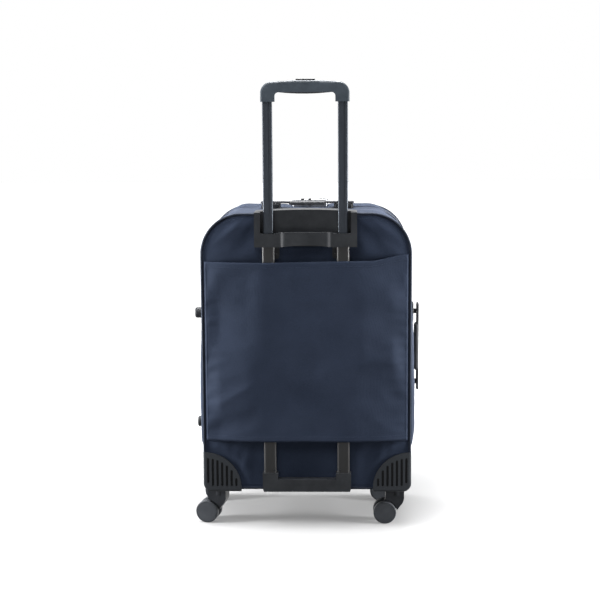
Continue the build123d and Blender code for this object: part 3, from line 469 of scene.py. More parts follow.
def panel(name, face_y, outward, z_from, z_to, puff, thickness, material, step=0.007, cols=64, inset=0.0):
    """A flat-backed sheet over the body's outline; puff(x, z) is how far it stands out of face_y."""
    heights = row_heights(z_from, z_to, step)
    outer, inner = [], []
    for z in heights:
        reach = half_width(z, inset)
        for k in range(cols + 1):
            # Columns crowd towards the sides, where the cloth curves most.
            even = 2 * k / cols - 1
            x = reach * (math.sin(math.pi / 2 * even) * 0.35 + even * 0.65)
            outer.append((x, face_y + outward * puff(x, z), z))
            inner.append((x, face_y - outward * thickness, z))
    return mesh_object(name, outer + inner, sheet_faces(len(heights), cols + 1), material)


def ripple(x, y, z, scale, seed=0.0):
    return noise.noise(Vector((x * scale + seed, y * scale - seed, z * scale + 0.7 * seed)))


def smooth_step(value, low, high):
    t = min(max((value - low) / (high - low), 0.0), 1.0)
    return t * t * (3 - 2 * t)


def finish_piece(piece, body, slot, *replaced):
    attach(piece, body)
    if replaced:
        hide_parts(*replaced)


def sew(name, path, body, slot="navy_fabric", width=0.0007):
    """Stitching along a path of (point, outward normal)."""
    finish_piece(stitches(name, path, width), body, slot)


# ---------------- fabric body
GUARD_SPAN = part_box("guard_rear_left")[1].z - BOTTOM


def guard_clear(x, y, z):
    """0 under a corner guard, rising to 1 just outside its round edge."""
    depth = min(abs(y - BACK_Y), abs(FRONT_Y - y))
    reach = math.sqrt((HALF_W - abs(x)) ** 2 + depth ** 2 + (z - BOTTOM) ** 2)
    return smooth_step(reach, GUARD_SPAN + 0.001, GUARD_SPAN + 0.022)


def side_puff(x, y, z):
    """How far the gusset bulges: most half-way up the sides, held down at seams and fittings."""
    on_side = smooth_step(abs(x), HALF_W - R_TOP * 1.1, HALF_W - 0.012)
    high = smooth_step(TOP - z, 0.05, 0.40)
    low = smooth_step(z - BOTTOM, 0.03, 0.13)
    crest = 0.45 * smooth_step(z, TOP - 0.010, TOP)
    if y > ZIP_MID:
        crest += 0.45 * smooth_step(z, TOP - 0.004, TOP) * smooth_step(abs(x), 0.035, 0.055)
    start, stop, crown = next((strip for strip in STRIPS if y < strip[1]), STRIPS[-1])
    across = math.sin(math.pi * min(max((y - start) / (stop - start), 0), 1)) ** 0.7
    puff = crown * across * (0.15 + crest + 0.95 * on_side * high * low)
    wrinkle = 0.0020 * ripple(x, y * 2, z, 17) + 0.0008 * ripple(x, y, z, 50, 3.1)
    guarded = guard_clear(x, y, z)
    level = (puff + wrinkle * across) * guarded
    base = 0.0035 * on_side * high * low * guarded
    for side, y0, z0, r in PINNED:
        if x * side > 0:
            near = math.exp(-(((y - y0) ** 2 + (z - z0) ** 2) / r ** 2) ** 2)
            level *= 1 - near
            base *= 1 - near
    return level + base


foot_low, foot_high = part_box("side_feet")
mount_low, mount_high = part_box("side_handle_mounts")
FOOT_R, MOUNT_R = 0.0145, 0.021            # from a foot's or a mount's end to its middle
FOOT_SPOTS = [((foot_low.y + foot_high.y) / 2, z) for z in (foot_low.z + FOOT_R, foot_high.z - FOOT_R)]
MOUNT_SPOTS = [((mount_low.y + mount_high.y) / 2, z) for z in (mount_low.z + MOUNT_R, mount_high.z - MOUNT_R)]
# The gusset's strips of cloth between seams: from, to, and how far each crowns.
STRIPS = ((BACK_Y, WELT_Y, 0.0085), (WELT_Y, ZIP_MID, 0.0055), (ZIP_MID, FRONT_Y, 0.0065))
# Where a fitting holds the gusset flat: its side, depth and height, and the radius it holds.
PINNED = [(-1, *spot, 0.03) for spot in FOOT_SPOTS] + [(1, *spot, 0.028) for spot in MOUNT_SPOTS]


def spaced(a, b, count, crowd=0.5):
    """Values from a to b, crowded towards both ends."""
    out = []
    for k in range(count + 1):
        t = k / count
        eased = 0.5 - 0.5 * math.cos(math.pi * t)
        out.append(a + (b - a) * ((1 - crowd) * t + crowd * eased))
    return out


def build_gusset():
    whole, above, below = Outline(), Outline(z_from=FOLD_Z + SEAM_GAP), Outline(z_to=FOLD_Z - EDGE_GAP)
    front = FRONT_Y - EDGE_GAP
    shell, lid = ("shell", ["lining_main"]), ("lid", ["lid_board"])
    # Name, outline, from and to which depth, columns, depth laid flat, body, and what it rests on.
    strips = (("gusset_rear_cloth", whole, BACK_Y + EDGE_GAP, WELT_Y - SEAM_GAP, 22, WELT_Y - BACK_Y, *shell),
              ("gusset_mid_cloth", whole, WELT_Y + SEAM_GAP, ZIP_BACK - 0.003, 12, ZIP_BACK - WELT_Y, *shell),
              ("gusset_lower_cloth", below, ZIP_BACK - 0.003, front, 14, FRONT_Y - ZIP_BACK, *shell),
              ("lid_gusset_cloth", above, ZIP_MID + 0.0045, front, 14, FRONT_Y - ZIP_MID, *lid))
    replaced = {"gusset_rear_cloth": ["gusset_main"], "lid_gusset_cloth": ["lid_gusset"]}
    for name, outline, y_from, y_to, count, deep, body, under in strips:
        cloth = band(name, outline, spaced(y_from, y_to, count), side_puff, GUSSET_T, NAVY)
        finish_piece(cloth, body, "navy_fabric", *replaced.get(name, ()))
        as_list(under)
    above_fold, below_fold = Outline(z_from=FOLD_Z + 0.0055), Outline(z_to=FOLD_Z - 0.003)
    for name, outline, y, body in (("piping_rear", whole, BACK_Y + 0.0004, "shell"),
                                   ("piping_front_lid", above_fold, FRONT_Y - 0.0004, "lid"),
                                   ("piping_front_base", below_fold, FRONT_Y - 0.0004, "shell")):
        finish_piece(ring_cord(name, outline, y, PIPING_R), body, "zip_tape")
    welt = ring_cord("welt_mid", whole, WELT_Y, WELT_R, lambda x, y, z: side_puff(x, y, z) + 0.0003, sides=8)
    finish_piece(welt, "shell", "zip_tape")


def zip_stand(x, y, z):
    """How far the main zip's tape stands out of the body's outline."""
    return side_puff(x, ZIP_MID, z) + 0.0006


def tooth_ring(foot):
    """One end of a zip tooth: four places along the zip, and their heights above its tape."""
    return (-0.0009, foot), (-0.0007, 0.0009), (0.0007, 0.0009), (0.0009, foot)


def build_zip():
    """Tape and coil of the main zip, all round the lid."""
    upper = Outline(STEP / 2, z_from=FOLD_Z + SEAM_GAP)
    tape_depths = {"shell": (-0.0065, -0.0045, -0.001), "lid": (0.0014, 0.0045, 0.0065)}
    for body, depths in tape_depths.items():
        tape = band(f"zip_tape_{body}", upper, [ZIP_MID + y for y in depths], zip_stand, 0.0022, TAPE)
        finish_piece(tape, body, "zip_tape", *(["zip_track"] if body == "shell" else []))
    # The coil: small teeth across the gap, standing a little proud.
    verts, faces = [], []
    for start, stop in zip(upper.points, upper.points[1:]):
        px, pz, nx, nz = (start + stop) / 2
        g = zip_stand(px, ZIP_MID, pz)
        faces += tooth_faces(len(verts))
        for y in (ZIP_MID - 0.0022, ZIP_MID + 0.0018):
            for along, lift in tooth_ring(-0.0008):
                verts.append((px - nz * along + nx * (g + lift), y, pz + nx * along + nz * (g + lift)))
    finish_piece(mesh_object("zip_coil", verts, faces, GLOSS_BLACK), "shell", "zip_tape")


def rear_puff(x, z):
    """The back panel: pulled in at its piping, with soft folds low on each side and drag lines at its top."""
    d = edge_distance(x, z)
    puff = 0.0022 * (1 - math.exp(-d / 0.018))
    low = 1 - smooth_step(z, 0.15, 0.22)
    upper = smooth_step(z, 0.56, 0.6)
    outside = smooth_step(abs(x), 0.09, 0.13)
    away = smooth_step(d, 0.0, 0.035)
    upright = (0.0058 if x > 0 else 0.0036) * low * folds(x, z, 78, 5, 22, 4.4) * away * outside
    drag = 0.0046 * upper * folds(abs(x), z, -35, 7, 17, 6.1 + x) * away * outside
    sag = 0.0010 * (upper + low) * folds(x, z, 10, 6, 20, 2.2) * away
    puff += upright + drag + sag + 0.0004 * ripple(x, 0, z, 45)
    return max(min(puff, 0.0065), -0.0015) * smooth_step(d, 0.0, 0.01) * guard_clear(x, BACK_Y, z)


def build_rear_panel():
    made = panel("rear_cloth", BACK_Y, -1, BOTTOM + 0.0002, TOP - 0.0002, rear_puff, PANEL_T, NAVY)
    finish_piece(made, "shell", "navy_fabric", "rear_panel")
    path, inset = [], 0.0085
    for px, pz, nx, nz in Outline(0.004).points:
        x, z = px - nx * inset, pz - nz * inset
        path.append(((x, BACK_Y - rear_puff(x, z), z), (0, -1, 0)))
    sew("rear_stitching", path, "shell")


# ---------------- cover over the tubes
cover_low, cover_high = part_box("cover_panel")
tube_low, tube_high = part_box("outer_tube_right")
TUBE_BACK = tube_low.y
TUBE_X = (tube_low.x + tube_high.x) / 2


def cover_edge_top(x):
    """Top edge: level, and rising to its right-hand end."""
    return cover_high.z + 0.013 * smooth_step(x, 0.13, 0.212) + 0.0015 * math.sin(x * 14)


def folds(x, z, lean, along, across, seed):
    """Soft creases that run at this lean, in degrees above the horizontal: about -1 to 1."""
    c, t = math.cos(math.radians(lean)), math.sin(math.radians(lean))
    u, v = x * c + z * t, z * c - x * t
    bend = 0.35 * noise.noise(Vector((u * along * 0.9, v * along * 0.9, seed + 9)))
    value = noise.noise(Vector((u * along, v * across + bend * 2, seed)))
    fine = noise.noise(Vector((u * along * 2.3, v * across * 2.1 + bend, seed + 4)))
    ridge = 1 - 2.6 * abs(fine)
    return 1.5 * value + 0.35 * ridge * (0.5 + value)


def cover_y(x, z):
    """Depth of the cover: taut over the tubes, sloping down to its sewn sides."""
    ax = abs(x)
    side = cover_high.x
    over = TUBE_BACK - 0.0012
    flat = TUBE_X + 0.006
    if ax < flat:
        y = over + 0.0028 * smooth_step(TUBE_X - 0.010 - ax, 0.0, 0.06)
    else:
        t = (ax - flat) / (side - flat)
        y = over + (BACK_Y - 0.0022 - over) * (1 - math.cos(math.pi / 2 * t)) ** 0.92
    free = smooth_step(side - ax, 0.0, 0.035) * smooth_step(abs(ax - TUBE_X), 0.009, 0.05)
    from_left, from_right = x + side, side - x
    # How deep each set of creases is, what folds() needs for it, and how it fades from a side.
    sets = ((0.0056, 24, 4, 11, 1.3, from_left / 0.19), (0.0022, -18, 6, 17, 5.1, from_left / 0.10),
            (0.0046, -28, 5, 12, 7.7, from_right / 0.14), (0.0010, 70, 5, 11, 2.9, from_right / 0.10),
            (0.0034, 12, 4, 9, 3.7, 0.0))
    crease = sum(deep * folds(x, z, *shape) * math.exp(-fade ** 2) for deep, *shape, fade in sets)
    gathered = 0.0017 * folds(x, z, 5, 9, 55, 8.2) * math.exp(-(min(from_left, from_right) / 0.03) ** 2)
    hem = smooth_step(z - cover_low.z, -0.01, 0.05) * smooth_step(cover_high.z - z, -0.01, 0.03)
    y -= (crease * free + gathered * smooth_step(side - ax, 0.0, 0.006)) * (0.35 + 0.65 * hem)
    # Never behind the tubes' faces, nor further out than the fittings allow.
    clear = max(abs(ax - TUBE_X) - 0.013, 0.0)
    return min(y, TUBE_BACK - 0.0008 + 0.6 * clear)


def build_cover():
    cols, rows = 110, 96
    outer, inner = [], []
    for i in range(rows + 1):
        v = i / rows
        hem = 0.0005 if (v < 0.028 or v > 0.972) else 0.0
        for k in range(cols + 1):
            x = cover_high.x * (2 * k / cols - 1)
            z = cover_low.z + (cover_edge_top(x) - cover_low.z) * v
            y = cover_y(x, z)
            outer.append((x, y - hem, z))
            inner.append((x, y + COVER_T, z))
    made = mesh_object("tube_cover", outer + inner, sheet_faces(rows + 1, cols + 1), NAVY)
    finish_piece(made, "shell", "navy_fabric", "cover_panel")
    across = [(cover_high.x - 0.004) * (2 * k / 200 - 1) for k in range(201)]
    sew_cover("cover_hem_top", [(x, cover_edge_top(x) - 0.011) for x in across], 0)
    sew_cover("cover_hem_bottom", [(x, cover_low.z + 0.011) for x in across], 0)
    for side, name in ((-1, "left"), (1, "right")):
        x = side * (cover_high.x - 0.0035)
        tall = cover_edge_top(x) - cover_low.z - 0.008
        upright = [(x, cover_low.z + 0.004 + tall * k / 200) for k in range(201)]
        sew_cover(f"cover_seam_{name}", upright, side * 0.2)


def sew_cover(name, places, lean):
    """Stitching on the cover at these (x, z), its thread leaning outwards in x."""
    sew(name, [((x, cover_y(x, z) - 0.0001, z), (lean, -1, 0)) for x, z in places], "shell")


# ---------------- front of the case
def front_puff(x, z):
    d = edge_distance(x, z)
    puff = (0.0032 * (1 - math.exp(-d / 0.02)) + 0.0006 * ripple(x, 5, z, 20)) * smooth_step(d, 0, 0.012)
    return puff * guard_clear(x, FRONT_Y, z) * smooth_step(abs(z - FOLD_Z), 0.003, 0.03)


def build_front():
    lid = panel("lid_cloth", FRONT_Y, 1, FOLD_Z + SEAM_GAP, TOP - 0.0002, front_puff, PANEL_T, NAVY)
    finish_piece(lid, "lid", "navy_fabric", "lid_panel")
    apron = panel("apron_cloth", FRONT_Y, 1, BOTTOM + 0.0002, FOLD_Z - EDGE_GAP, front_puff, PANEL_T, NAVY,
                  step=0.005)
    finish_piece(apron, "shell", "navy_fabric", "front_apron")


def inflate(made, pinned_below, cap):
    """Swell a closed cloth form with the cloth solver, its back pinned, and keep the result as plain mesh."""
    voxel, pressure, frames = 0.004, 4.0, 20
    scene = bpy.context.scene
    remesh = made.modifiers.new("remesh", "REMESH")
    remesh.mode, remesh.voxel_size = "VOXEL", voxel
    even = bpy.data.meshes.new_from_object(made.evaluated_get(bpy.context.evaluated_depsgraph_get()))
    made.modifiers.clear()
    made.data = even
    start = [v.co.copy() for v in even.vertices]
    pins = made.vertex_groups.new(name="pins")
    pins.add([i for i, co in enumerate(start) if co.y < pinned_below], 1.0, "REPLACE")
    cloth = made.modifiers.new("cloth", "CLOTH")
    settings = cloth.settings
    settings.quality = 6
    settings.mass = 0.25
    settings.use_pressure, settings.uniform_pressure_force = True, pressure
    settings.vertex_group_mass = "pins"
    settings.shrink_min = -0.035
    settings.bending_stiffness = 0.6
    settings.effector_weights.gravity = 0.0
    cloth.point_cache.frame_start, cloth.point_cache.frame_end = 1, frames
    for frame_number in range(1, frames + 1):
        scene.frame_set(frame_number)
    moved = made.evaluated_get(bpy.context.evaluated_depsgraph_get()).to_mesh()
    ends = [v.co.copy() for v in moved.vertices]
    made.modifiers.clear()
    scene.frame_set(1)
    for vertex, a, b in zip(even.vertices, start, ends):
        step = b - a
        if step.length > cap:
            step *= cap / step.length
        vertex.co = a + step
    smooth_shading(even)
    made.vertex_groups.clear()
    finer = made.modifiers.new("subdivision", "SUBSURF")
    finer.levels = finer.render_levels = 1


def build_pocket(node, zip_drop):
    """A zipped outside pocket: crowned face, pulled-in corners, piping and a zip this far below its top."""
    low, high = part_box(node)
    half, mid_z, tall = high.x, (low.z + high.z) / 2, (high.z - low.z) / 2
    depth, corner = high.y - low.y, 0.022
    cols, rows = 72, 64

    def inside(x, z):
        qx, qz = abs(x) - (half - corner), abs(z - mid_z) - (tall - corner)
        if qx > 0 and qz > 0:
            return corner - math.hypot(qx, qz)
        return corner - max(qx, qz)

    def face_y(x, z):
        d = max(inside(x, z), 0.0)
        wall = 1 - (1 - min(d / 0.016, 1)) ** 2.6
        crown = 0.72 + 0.28 * smooth_step(d, 0.0, 0.09)
        sag = 1 + 0.06 * (mid_z - z) / tall
        slack = 0.0009 * ripple(x, 8, z, 16) + 0.0006 * ripple(x, 8, z, 38)
        return low.y + 0.0006 + (depth * 0.96 * wall * crown * sag + slack * wall)

    front, back = [], []
    for v in spaced(-1, 1, rows, 0.75):
        # A row is as long as the rounded rectangle is wide at its height.
        z = mid_z + v * tall
        over = max(abs(v * tall) - (tall - corner), 0)
        reach = half - corner + math.sqrt(max(corner ** 2 - over ** 2, 0))
        for u in spaced(-1, 1, cols, 0.75):
            x = u * reach
            front.append((x, face_y(x, z), z))
            back.append((x, low.y + 0.0002, z))
    made = mesh_object(f"{node}_cloth", front + back, sheet_faces(rows + 1, cols + 1), NAVY)
    inflate(made, low.y + 0.0024, 0.005)
    finish_piece(made, "lid", "navy_fabric", node)
    path = [((px + nx * 0.0006, low.y + 0.0026, mid_z + pz + nz * 0.0006), (nx, 0, nz))
            for px, pz, nx, nz in rounded_rectangle(half, tall, corner, STEP)]
    finish_piece(cord(f"{node}_piping", path, POCKET_PIPING_R, True, sides=8), "lid", "zip_tape")
    skin = BVHTree.FromObject(made, bpy.context.evaluated_depsgraph_get())

    def surface(x, z, lift=0.0):
        """The place on the pocket's face at this x and z, lifted off it."""
        hit = skin.ray_cast(Vector((x, high.y + 0.1, z)), Vector((0, -1, 0)))[0]
        return (x, (hit.y if hit else face_y(x, z)) + lift, z)

    build_pocket_zip(node, surface, half - 0.03, high.z - zip_drop)


def build_pocket_zip(node, surface, reach, z0):
    """Tape, coil, two rows of stitching, slider and pull, reach to each side of the middle at height z0."""
    steps, pitch = 90, 0.003
    tape = []
    for k in range(steps + 1):
        x = reach * (2 * k / steps - 1)
        tape += [surface(x, z0 + dz, lift) for dz, lift in ((-0.008, 0.0004), (-0.004, 0.0011),
                                                            (0.004, 0.0011), (0.008, 0.0004))]
    tape += [(x, y - 0.002, z) for x, y, z in tape]
    finish_piece(mesh_object(f"{node}_zip_tape", tape, sheet_faces(steps + 1, 4), TAPE), "lid", "zip_tape")
    coil, coil_faces = [], []
    for k in range(int(2 * reach / pitch)):
        x, y, z = surface(-reach + pitch * (k + 0.5), z0, 0.0012)
        coil_faces += tooth_faces(len(coil))
        for end in (z - 0.0021, z + 0.0021):
            coil += [(x + along, y + lift, end) for along, lift in tooth_ring(-0.0004)]
    finish_piece(mesh_object(f"{node}_zip_coil", coil, coil_faces, GLOSS_BLACK), "lid", "zip_tape")
    for dz, name in ((-0.0105, "below"), (0.0105, "above")):
        path = [(surface(reach * (2 * k / 150 - 1), z0 + dz, 0.0002), (0, 1, 0)) for k in range(151)]
        sew(f"{node}_stitch_{name}", path, "lid")
    x, y, _ = surface(reach - 0.012, z0, 0.0022)
    slider = rounded_block(f"{node}_slider", (x, y + 0.0012, z0), (0.0105, 0.0036, 0.0078), 0.0014, STEEL)
    finish_piece(slider, "lid", "bright_steel")
    pull_place, pull_size = (x + 0.002, y + 0.0022, z0 - 0.021), (0.0075, 0.0026, 0.032)
    pull = rounded_block(f"{node}_pull", pull_place, pull_size, 0.0011, GLOSS_BLACK)
    finish_piece(pull, "lid", "pull_black")


def rounded_rectangle(half_x, half_z, r, step):
    """Points (x, z, outward x, outward z) round a rounded rectangle about the origin."""
    out = []
    corners = [(half_x - r, -half_z + r, -90), (half_x - r, half_z - r, 0),
               (-half_x + r, half_z - r, 90), (-half_x + r, -half_z + r, 180)]
    for (cx, cz, start), (next_x, next_z, _) in zip(corners, corners[1:] + corners[:1]):
        count = max(4, int(r * math.pi / 2 / step))
        for k in range(count + 1):
            a = math.radians(start + 90 * k / count)
            out.append((cx + r * math.cos(a), cz + r * math.sin(a), math.cos(a), math.sin(a)))
        # The straight side as far as the next corner.
        x, z, ux, uz = out[-1]
        dx, dz = next_x + r * ux - x, next_z + r * uz - z
        count = max(1, int(math.hypot(dx, dz) / step))
        out += [(x + dx * k / count, z + dz * k / count, ux, uz) for k in range(1, count)]
    return out


def rounded_block(name, centre, size, bevel, material):
    """A box with rounded edges."""
    hx, hy, hz = (v / 2 for v in size)
    verts = [(sx * hx, sy * hy, sz * hz) for sx in (-1, 1) for sy in (-1, 1) for sz in (-1, 1)]
    faces = [(0, 1, 3, 2), (4, 6, 7, 5), (0, 4, 5, 1), (2, 3, 7, 6), (0, 2, 6, 4), (1, 5, 7, 3)]
    made = mesh_object(name, [Vector(v) + Vector(centre) for v in verts], faces, material)
    modifier = made.modifiers.new("bevel", "BEVEL")
    modifier.width, modifier.segments = bevel, 3
    return made


# ---------------- carry handles
def soft_slab(name, place, half_u, half_w, corner, low, high, edge, material, crown=1.0):
    """A rounded slab from low to high: edge is its thickness at the rim, crown how soon it fills inwards."""
    mid, thick = (low + high) / 2, high - low
    insets = [half_w * t for t in (0, 0.012, 0.04, 0.09, 0.17, 0.28, 0.42, 0.58, 0.76, 0.93)]
    rows, verts = [], []

    def ring(inset, h):
        """The slab's outline at height h, drawn in by inset."""
        scale, shrink = max(corner - inset, 0.0006) / corner, max(inset - corner, 0.0)
        out = []
        for u, w, _, _ in rounded_rectangle(half_u, half_w, corner, 0.0035):
            cu = max(min(u, half_u - corner), corner - half_u)
            cw = max(min(w, half_w - corner), corner - half_w)
            du, dw = (u - cu) * scale, (w - cw) * scale
            cu -= math.copysign(min(shrink, abs(cu)), cu)
            cw -= math.copysign(min(shrink, abs(cw)), cw)
            out.append((cu + du, cw + dw, h))
        return out

    for side in (1, -1):
        for inset in insets[::-side]:
            t = 1 - (1 - min(inset / (half_w * crown), 1.0)) ** 2
            rows.append(ring(inset, mid + side * (edge + (thick - edge) * math.sqrt(t)) / 2))
    for u, w, h in sum(rows, []):
        wave = 0.00025 * ripple(u, w * 2, 3.0, 70) if h > mid else 0
        verts.append(place(u, w, h + wave))
    cols = len(rows[0])
    faces = grid_faces(len(rows), cols, 0, close_cols=True) + end_caps(len(rows), cols)
    return mesh_object(name, verts, faces, material)


def build_handle(node, body, place, half_u, pad_u, strap, pad, legs, leg_low):
    """A flat webbing strap with a padded grip round its middle, on two square legs in the mounts."""
    half_w, half_pad, corner = 0.0125, 0.0145, 0.006
    tape = soft_slab(f"{node}_strap", place, half_u, half_w, corner, *strap, 0.0016, STRAP, 0.18)
    finish_piece(tape, body, "handle_black", node)
    grip = soft_slab(f"{node}_pad", place, pad_u, half_pad, corner, *pad, 0.0030, RUBBER, 0.5)
    finish_piece(grip, body, "handle_black")
    for index, u in enumerate(legs):
        span = strap[0] + 0.001 - leg_low
        centre = place(u, 0, leg_low + span / 2)
        corner_a, corner_b = place(u - 0.005, -0.005, leg_low), place(u + 0.005, 0.005, leg_low + span)
        size = [abs(b - a) for a, b in zip(corner_a, corner_b)]
        leg = rounded_block(f"{node}_leg_{index + 1}", centre, size, 0.0012, BLACK_MOULDED)
        finish_piece(leg, body, "handle_black")
    up = Vector(place(0, 0, 1)) - Vector(place(0, 0, 0))
    inner, outer, side = pad_u + 0.005, half_u - 0.004, 0.009
    corners = [(inner, -side), (outer, -side), (outer, side), (inner, side), (inner, -side)]
    for sign, tag in ((-1, "a"), (1, "b")):
        path = []
        for (u0, w0), (u1, w1) in zip(corners, corners[1:]):
            for k in range(30):
                u, w = u0 + (u1 - u0) * k / 30, w0 + (w1 - w0) * k / 30
                path.append((place(sign * u, w, strap[1] - 0.0001), up))
        sew(f"{node}_stitch_{tag}", path, body, "handle_black", 0.0006)
    ring = [(place(u, w, pad[1] - 0.0006), up)
            for u, w, _, _ in rounded_rectangle(pad_u - 0.0045, half_pad - 0.0042, 0.003, 0.004)]
    sew(f"{node}_pad_stitch", ring + ring[:1], body, "handle_black", 0.0006)


def build_handles():
    top_low, top_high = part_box("top_handle")
    y0, strap_z = (top_low.y + top_high.y) / 2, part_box("top_handle_mounts")[1].z + 0.0004
    build_handle("top_handle", "top_carry", lambda u, w, h: (u, y0 + w, h), 0.102, 0.040,
                 (strap_z, strap_z + 0.004), (strap_z - 0.0036, strap_z + 0.0046), (-0.080, 0.080), top_low.z)
    side_low, side_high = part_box("side_handle")
    sy, sz = (side_low.y + side_high.y) / 2, (side_low.z + side_high.z) / 2
    strap_x = side_high.x - 0.005
    build_handle("side_handle", "side_carry", lambda u, w, h: (h, sy + w, sz + u), 0.0965, 0.052,
                 (strap_x, side_high.x), (strap_x - 0.005, strap_x + 0.0045), (-0.078, 0.078), side_low.x)


# ---------------- inside of the case
LINING_LOW, LINING_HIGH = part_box("lining_main")
LINING_INSET = HALF_W - LINING_HIGH.x


def lining_ease(x, y, z):
    return -LINING_INSET + 0.0015 * ripple(x, y, z, 26, 2.0) + 0.0008 * ripple(x, y, z, 70, 5.0)


def lining_puff(x, z):
    """Slack in the lining: long soft sags, flat at its edges."""
    d = edge_distance(x, z) - LINING_INSET
    slack = 0.0011 * folds(x, z, 12, 6, 18, 31.0) + 0.0006 * ripple(x, 4, z, 45, 2.2)
    return (0.0012 + slack) * smooth_step(d, 0.0, 0.03)


def build_lining():
    depths = spaced(LINING_LOW.y + LINING_T, LINING_HIGH.y - 0.0004, 16)
    walls = band("lining_walls", Outline(), depths, lining_ease, LINING_T, LINING)
    finish_piece(walls, "shell", "lining_cloth", "lining_main")
    back = panel("lining_back", LINING_LOW.y + LINING_T / 2, 1, LINING_LOW.z, LINING_HIGH.z, lining_puff,
                 LINING_T / 2, LINING, step=0.008, cols=56, inset=LINING_INSET)
    finish_piece(back, "shell", "lining_cloth")
    board_low, board_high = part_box("lid_board")
    clear = 0.0002                         # between the board and the back of its lining
    lid = panel("lid_lining", board_low.y, -1, board_low.z + 0.002, board_high.z - 0.002, lining_puff,
                -clear, LINING, step=0.008, cols=56, inset=HALF_W - board_high.x + 0.001)
    finish_piece(lid, "lid", "lining_cloth")


def build_packing_straps():
    """Two pairs of webbing straps across the inside, each running into its buckle."""
    low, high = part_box("packing_straps")
    half, cols, count = 0.0125, 5, 48
    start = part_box("strap_buckles")[1].x - 0.004
    for row, z0 in enumerate((low.z + half, high.z - half)):
        for sign, side in ((-1, "left"), (1, "right")):
            verts = []
            for behind in (0, STRAP_T):
                for i in range(count + 1):
                    t = i / count
                    lift = 0.0018 * math.sin(math.pi * t) * (1 + 0.4 * math.sin(9 * t + row * 2 + sign))
                    for k in range(cols):
                        across = 2 * k / (cols - 1) - 1
                        y = high.y + lift + 0.0006 * (1 - across ** 2) - behind
                        z = z0 + half * across + 0.0006 * math.sin(7 * t + row)
                        verts.append((sign * (start + (high.x - start) * t), y, z))
            strap = mesh_object(f"packing_strap_{side}_{row + 1}", verts, sheet_faces(count + 1, cols), STRAP)
            first = row == 0 and sign < 0
            finish_piece(strap, "shell", "webbing", *(["packing_straps"] if first else []))


def build_fold_strip():
    """Strip of tape across the fold under the lid."""
    half, tall, rows, cols = HALF_W - 0.012, 0.011, 16, 60
    verts = []
    for face in (0, 1):
        for i in range(rows + 1):
            z = FOLD_Z + tall * (2 * i / rows - 1)
            edge = smooth_step(1 - abs(2 * i / rows - 1), 0.0, 0.15)
            for k in range(cols + 1):
                x = half * (2 * k / cols - 1)
                y = FRONT_Y + front_puff(x, z) * 0.9 + (0.0014 * edge + 0.0004) * (1 - face) - 0.0004 * face
                verts.append((x, y, z))
    strip = mesh_object("fold_strip", verts, sheet_faces(rows + 1, cols + 1), TAPE)
    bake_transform(strip)


# ---------------- CAD pieces that keep their shape
def dress(node, material):
    mesh = nodes[node].data
    mesh.materials.clear()
    mesh.materials.append(material)


def dress_cad_nodes():
    by_slot = {"moulded_black": BLACK_MOULDED, "bright_steel": STEEL, "tube_black": TUBE, "nylon": NYLON,
               "webbing": STRAP, "lock_silver": SILVER, "grip_slate": GRIP, "grip_rubber": RUBBER,
               "button_black": GLOSS_BLACK, "handle_black": RUBBER, "pull_black": GLOSS_BLACK,
               "caster_grey": CASTER_GREY, "wheel_pu": TREAD, "spring_steel": STEEL,
               "stiffener_board": BOARD, "lining_cloth": LINING, "navy_fabric": NAVY, "zip_tape": TAPE}
    by_node = {"trolley_screws": DARK_STEEL, "outer_tube_left": OUTER_TUBE, "outer_tube_right": OUTER_TUBE}
    for corner in ("rear_left", "rear_right", "front_left", "front_right"):
        by_node[f"guard_{corner}"] = GUARD
        by_node[f"wheel_{corner}_a"] = by_node[f"wheel_{corner}_b"] = WHEEL
    for part in frame["record"]["subparts"]:
        dress(part["node"], by_node.get(part["node"], by_slot[part["material_slot"]]))


# ---------------- stage, lights and camera
WHITE = (1.0, 1.0, 1.0, 1.0)
LENS_MM, SENSOR_MM = 81.06, 36.0
CAMERA_PLACE = (0.0712, BACK_Y - 2.8, 0.8826)
PAN, TILT, ROLL = math.radians(1.72), math.radians(7.94), math.radians(-0.36)


def build_stage():
    reach = 14.0
    verts = [(-reach, -reach, 0), (reach, -reach, 0), (reach, reach, 0), (-reach, reach, 0)]
    floor = mesh_object("floor", verts, [(0, 1, 2, 3)], floor_material(), smooth=False)
    # Its glow stays off the case, as if black cards stood between them.
    floor.visible_diffuse = floor.visible_glossy = False


def floor_material():
    """Pale and matt, with a painted shadow that darkens its colour under and behind the case, and a painted
    glow that lifts that shadow a little near the case and rises far off to the backdrop's white.
    """
    s = Shader("pale_floor")
    behind = s.vector("DISTANCE", s.place, (0.05, 0.2, 0.0))["Value"]
    # Painted shadow: the base colour darkens towards a spot just behind the case.
    painted_shadow = s.spread(behind, 0.26, 1.0, 0.1, 0.95, "SMOOTHSTEP")
    mottled_shadow = s.math("ADD", painted_shadow, s.math("MULTIPLY", s.noise(3, 2.0), 0.02))
    # Painted glow: emission, faint near the case and strong far off.
    glow = s.spread(s.vector("LENGTH", s.place)["Value"], 0.20, 0.8, 0.8, 2.2, "SMOOTHSTEP")
    s.set(Base_Color=s.ramp(mottled_shadow, [(0.0, (0.0, 0.0, 0.0)), (1.0, (0.65, 0.65, 0.655))]),
          Roughness=s.spread(s.noise(5), 0.75, 0.85), Specular_IOR_Level=0.1,
          Emission_Color=WHITE, Emission_Strength=glow)
    return s.material


def area_light(name, place, aim, size, power):
    light = bpy.data.lights.new(name, "AREA")
    light.shape = "RECTANGLE"
    light.size, light.size_y = size
    light.energy = power
    made = bpy.data.objects.new(name, light)
    made.location = place
    made.rotation_mode = "QUATERNION"
    made.rotation_quaternion = (Vector(aim) - Vector(place)).to_track_quat("-Z", "Y")
    made.visible_camera = False
    bpy.context.scene.collection.objects.link(made)


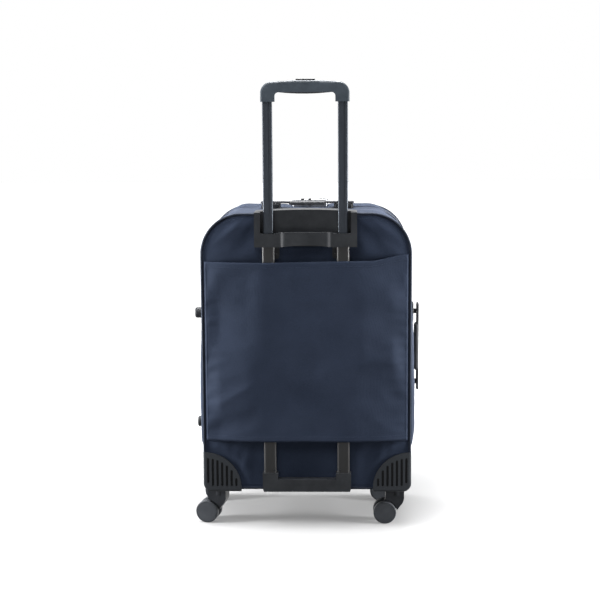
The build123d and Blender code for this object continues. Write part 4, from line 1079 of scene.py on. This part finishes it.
def build_world():
    """White all round to look at; as a light it is a studio, dimmer on the side the photo is taken from."""
    world = bpy.data.worlds.new("studio")
    bpy.context.scene.world = world
    world.use_nodes = True
    tree = world.node_tree
    place = add_node(tree, "ShaderNodeTexCoord").outputs["Generated"]
    depth = add_node(tree, "ShaderNodeSeparateXYZ", {0: place}).outputs["Y"]
    fall = {"Value": depth, "From Min": -0.55, "From Max": 0.6, "To Min": 0.20, "To Max": 1.3}
    strength = add_node(tree, "ShaderNodeMapRange", fall, interpolation_type="SMOOTHSTEP").outputs[0]
    light = tree.nodes["Background"]
    feed(tree, light.inputs["Color"], WHITE)
    feed(tree, light.inputs["Strength"], strength)
    backdrop = add_node(tree, "ShaderNodeBackground", {"Color": WHITE})
    seen = add_node(tree, "ShaderNodeLightPath").outputs["Is Camera Ray"]
    choose = add_node(tree, "ShaderNodeMixShader", {0: seen, 1: light.outputs[0], 2: backdrop.outputs[0]})
    feed(tree, tree.nodes["World Output"].inputs[0], choose.outputs[0])


def build_lights():
    build_world()
    area_light("overhead", (-0.10, -0.42, 2.9), (0, 0.0, 0.3), (1.0, 1.0), 62)
    area_light("key", (-0.7, -1.5, 2.3), (0, 0.0, 0.35), (1.2, 1.2), 36)
    area_light("left_strip", (-1.3, -0.27, 0.47), (0, -0.13, 0.42), (0.3, 0.6), 46)
    area_light("right_strip", (1.3, -0.28, 0.47), (0, -0.13, 0.42), (0.3, 0.6), 40)
    area_light("low_fill", (0.1, -1.5, 0.12), (0, 0.0, 0.25), (1.2, 0.4), 3.5)
    area_light("top_back", (0.0, 0.55, 2.3), (0, 0.0, 0.67), (1.4, 0.5), 95)


def build_camera():
    """Camera fitted to the photo: lens, place, pan, tilt and a slight roll."""
    data = bpy.data.cameras.new("photo_camera")
    data.sensor_width, data.lens = SENSOR_MM, LENS_MM
    camera = bpy.data.objects.new("photo_camera", data)
    aim = Vector((-math.sin(PAN) * math.cos(TILT), math.cos(PAN) * math.cos(TILT), -math.sin(TILT)))
    right = Vector((math.cos(PAN), math.sin(PAN), 0))
    up = right.cross(aim)
    rolled_right = right * math.cos(ROLL) + up * math.sin(ROLL)
    rolled_up = -right * math.sin(ROLL) + up * math.cos(ROLL)
    basis = Matrix((rolled_right, rolled_up, -aim)).transposed().to_4x4()
    camera.matrix_world = Matrix.Translation(CAMERA_PLACE) @ basis
    bpy.context.scene.collection.objects.link(camera)
    bpy.context.scene.camera = camera
    bpy.context.scene.view_settings.view_transform = "Standard"


build_camera()
dress_cad_nodes()
build_gusset()
build_zip()
build_rear_panel()
build_cover()
build_front()
build_pocket("pocket_upper", 0.024)
build_pocket("pocket_lower", 0.028)
build_handles()
build_lining()
build_packing_straps()
build_fold_strip()
build_stage()
build_lights()
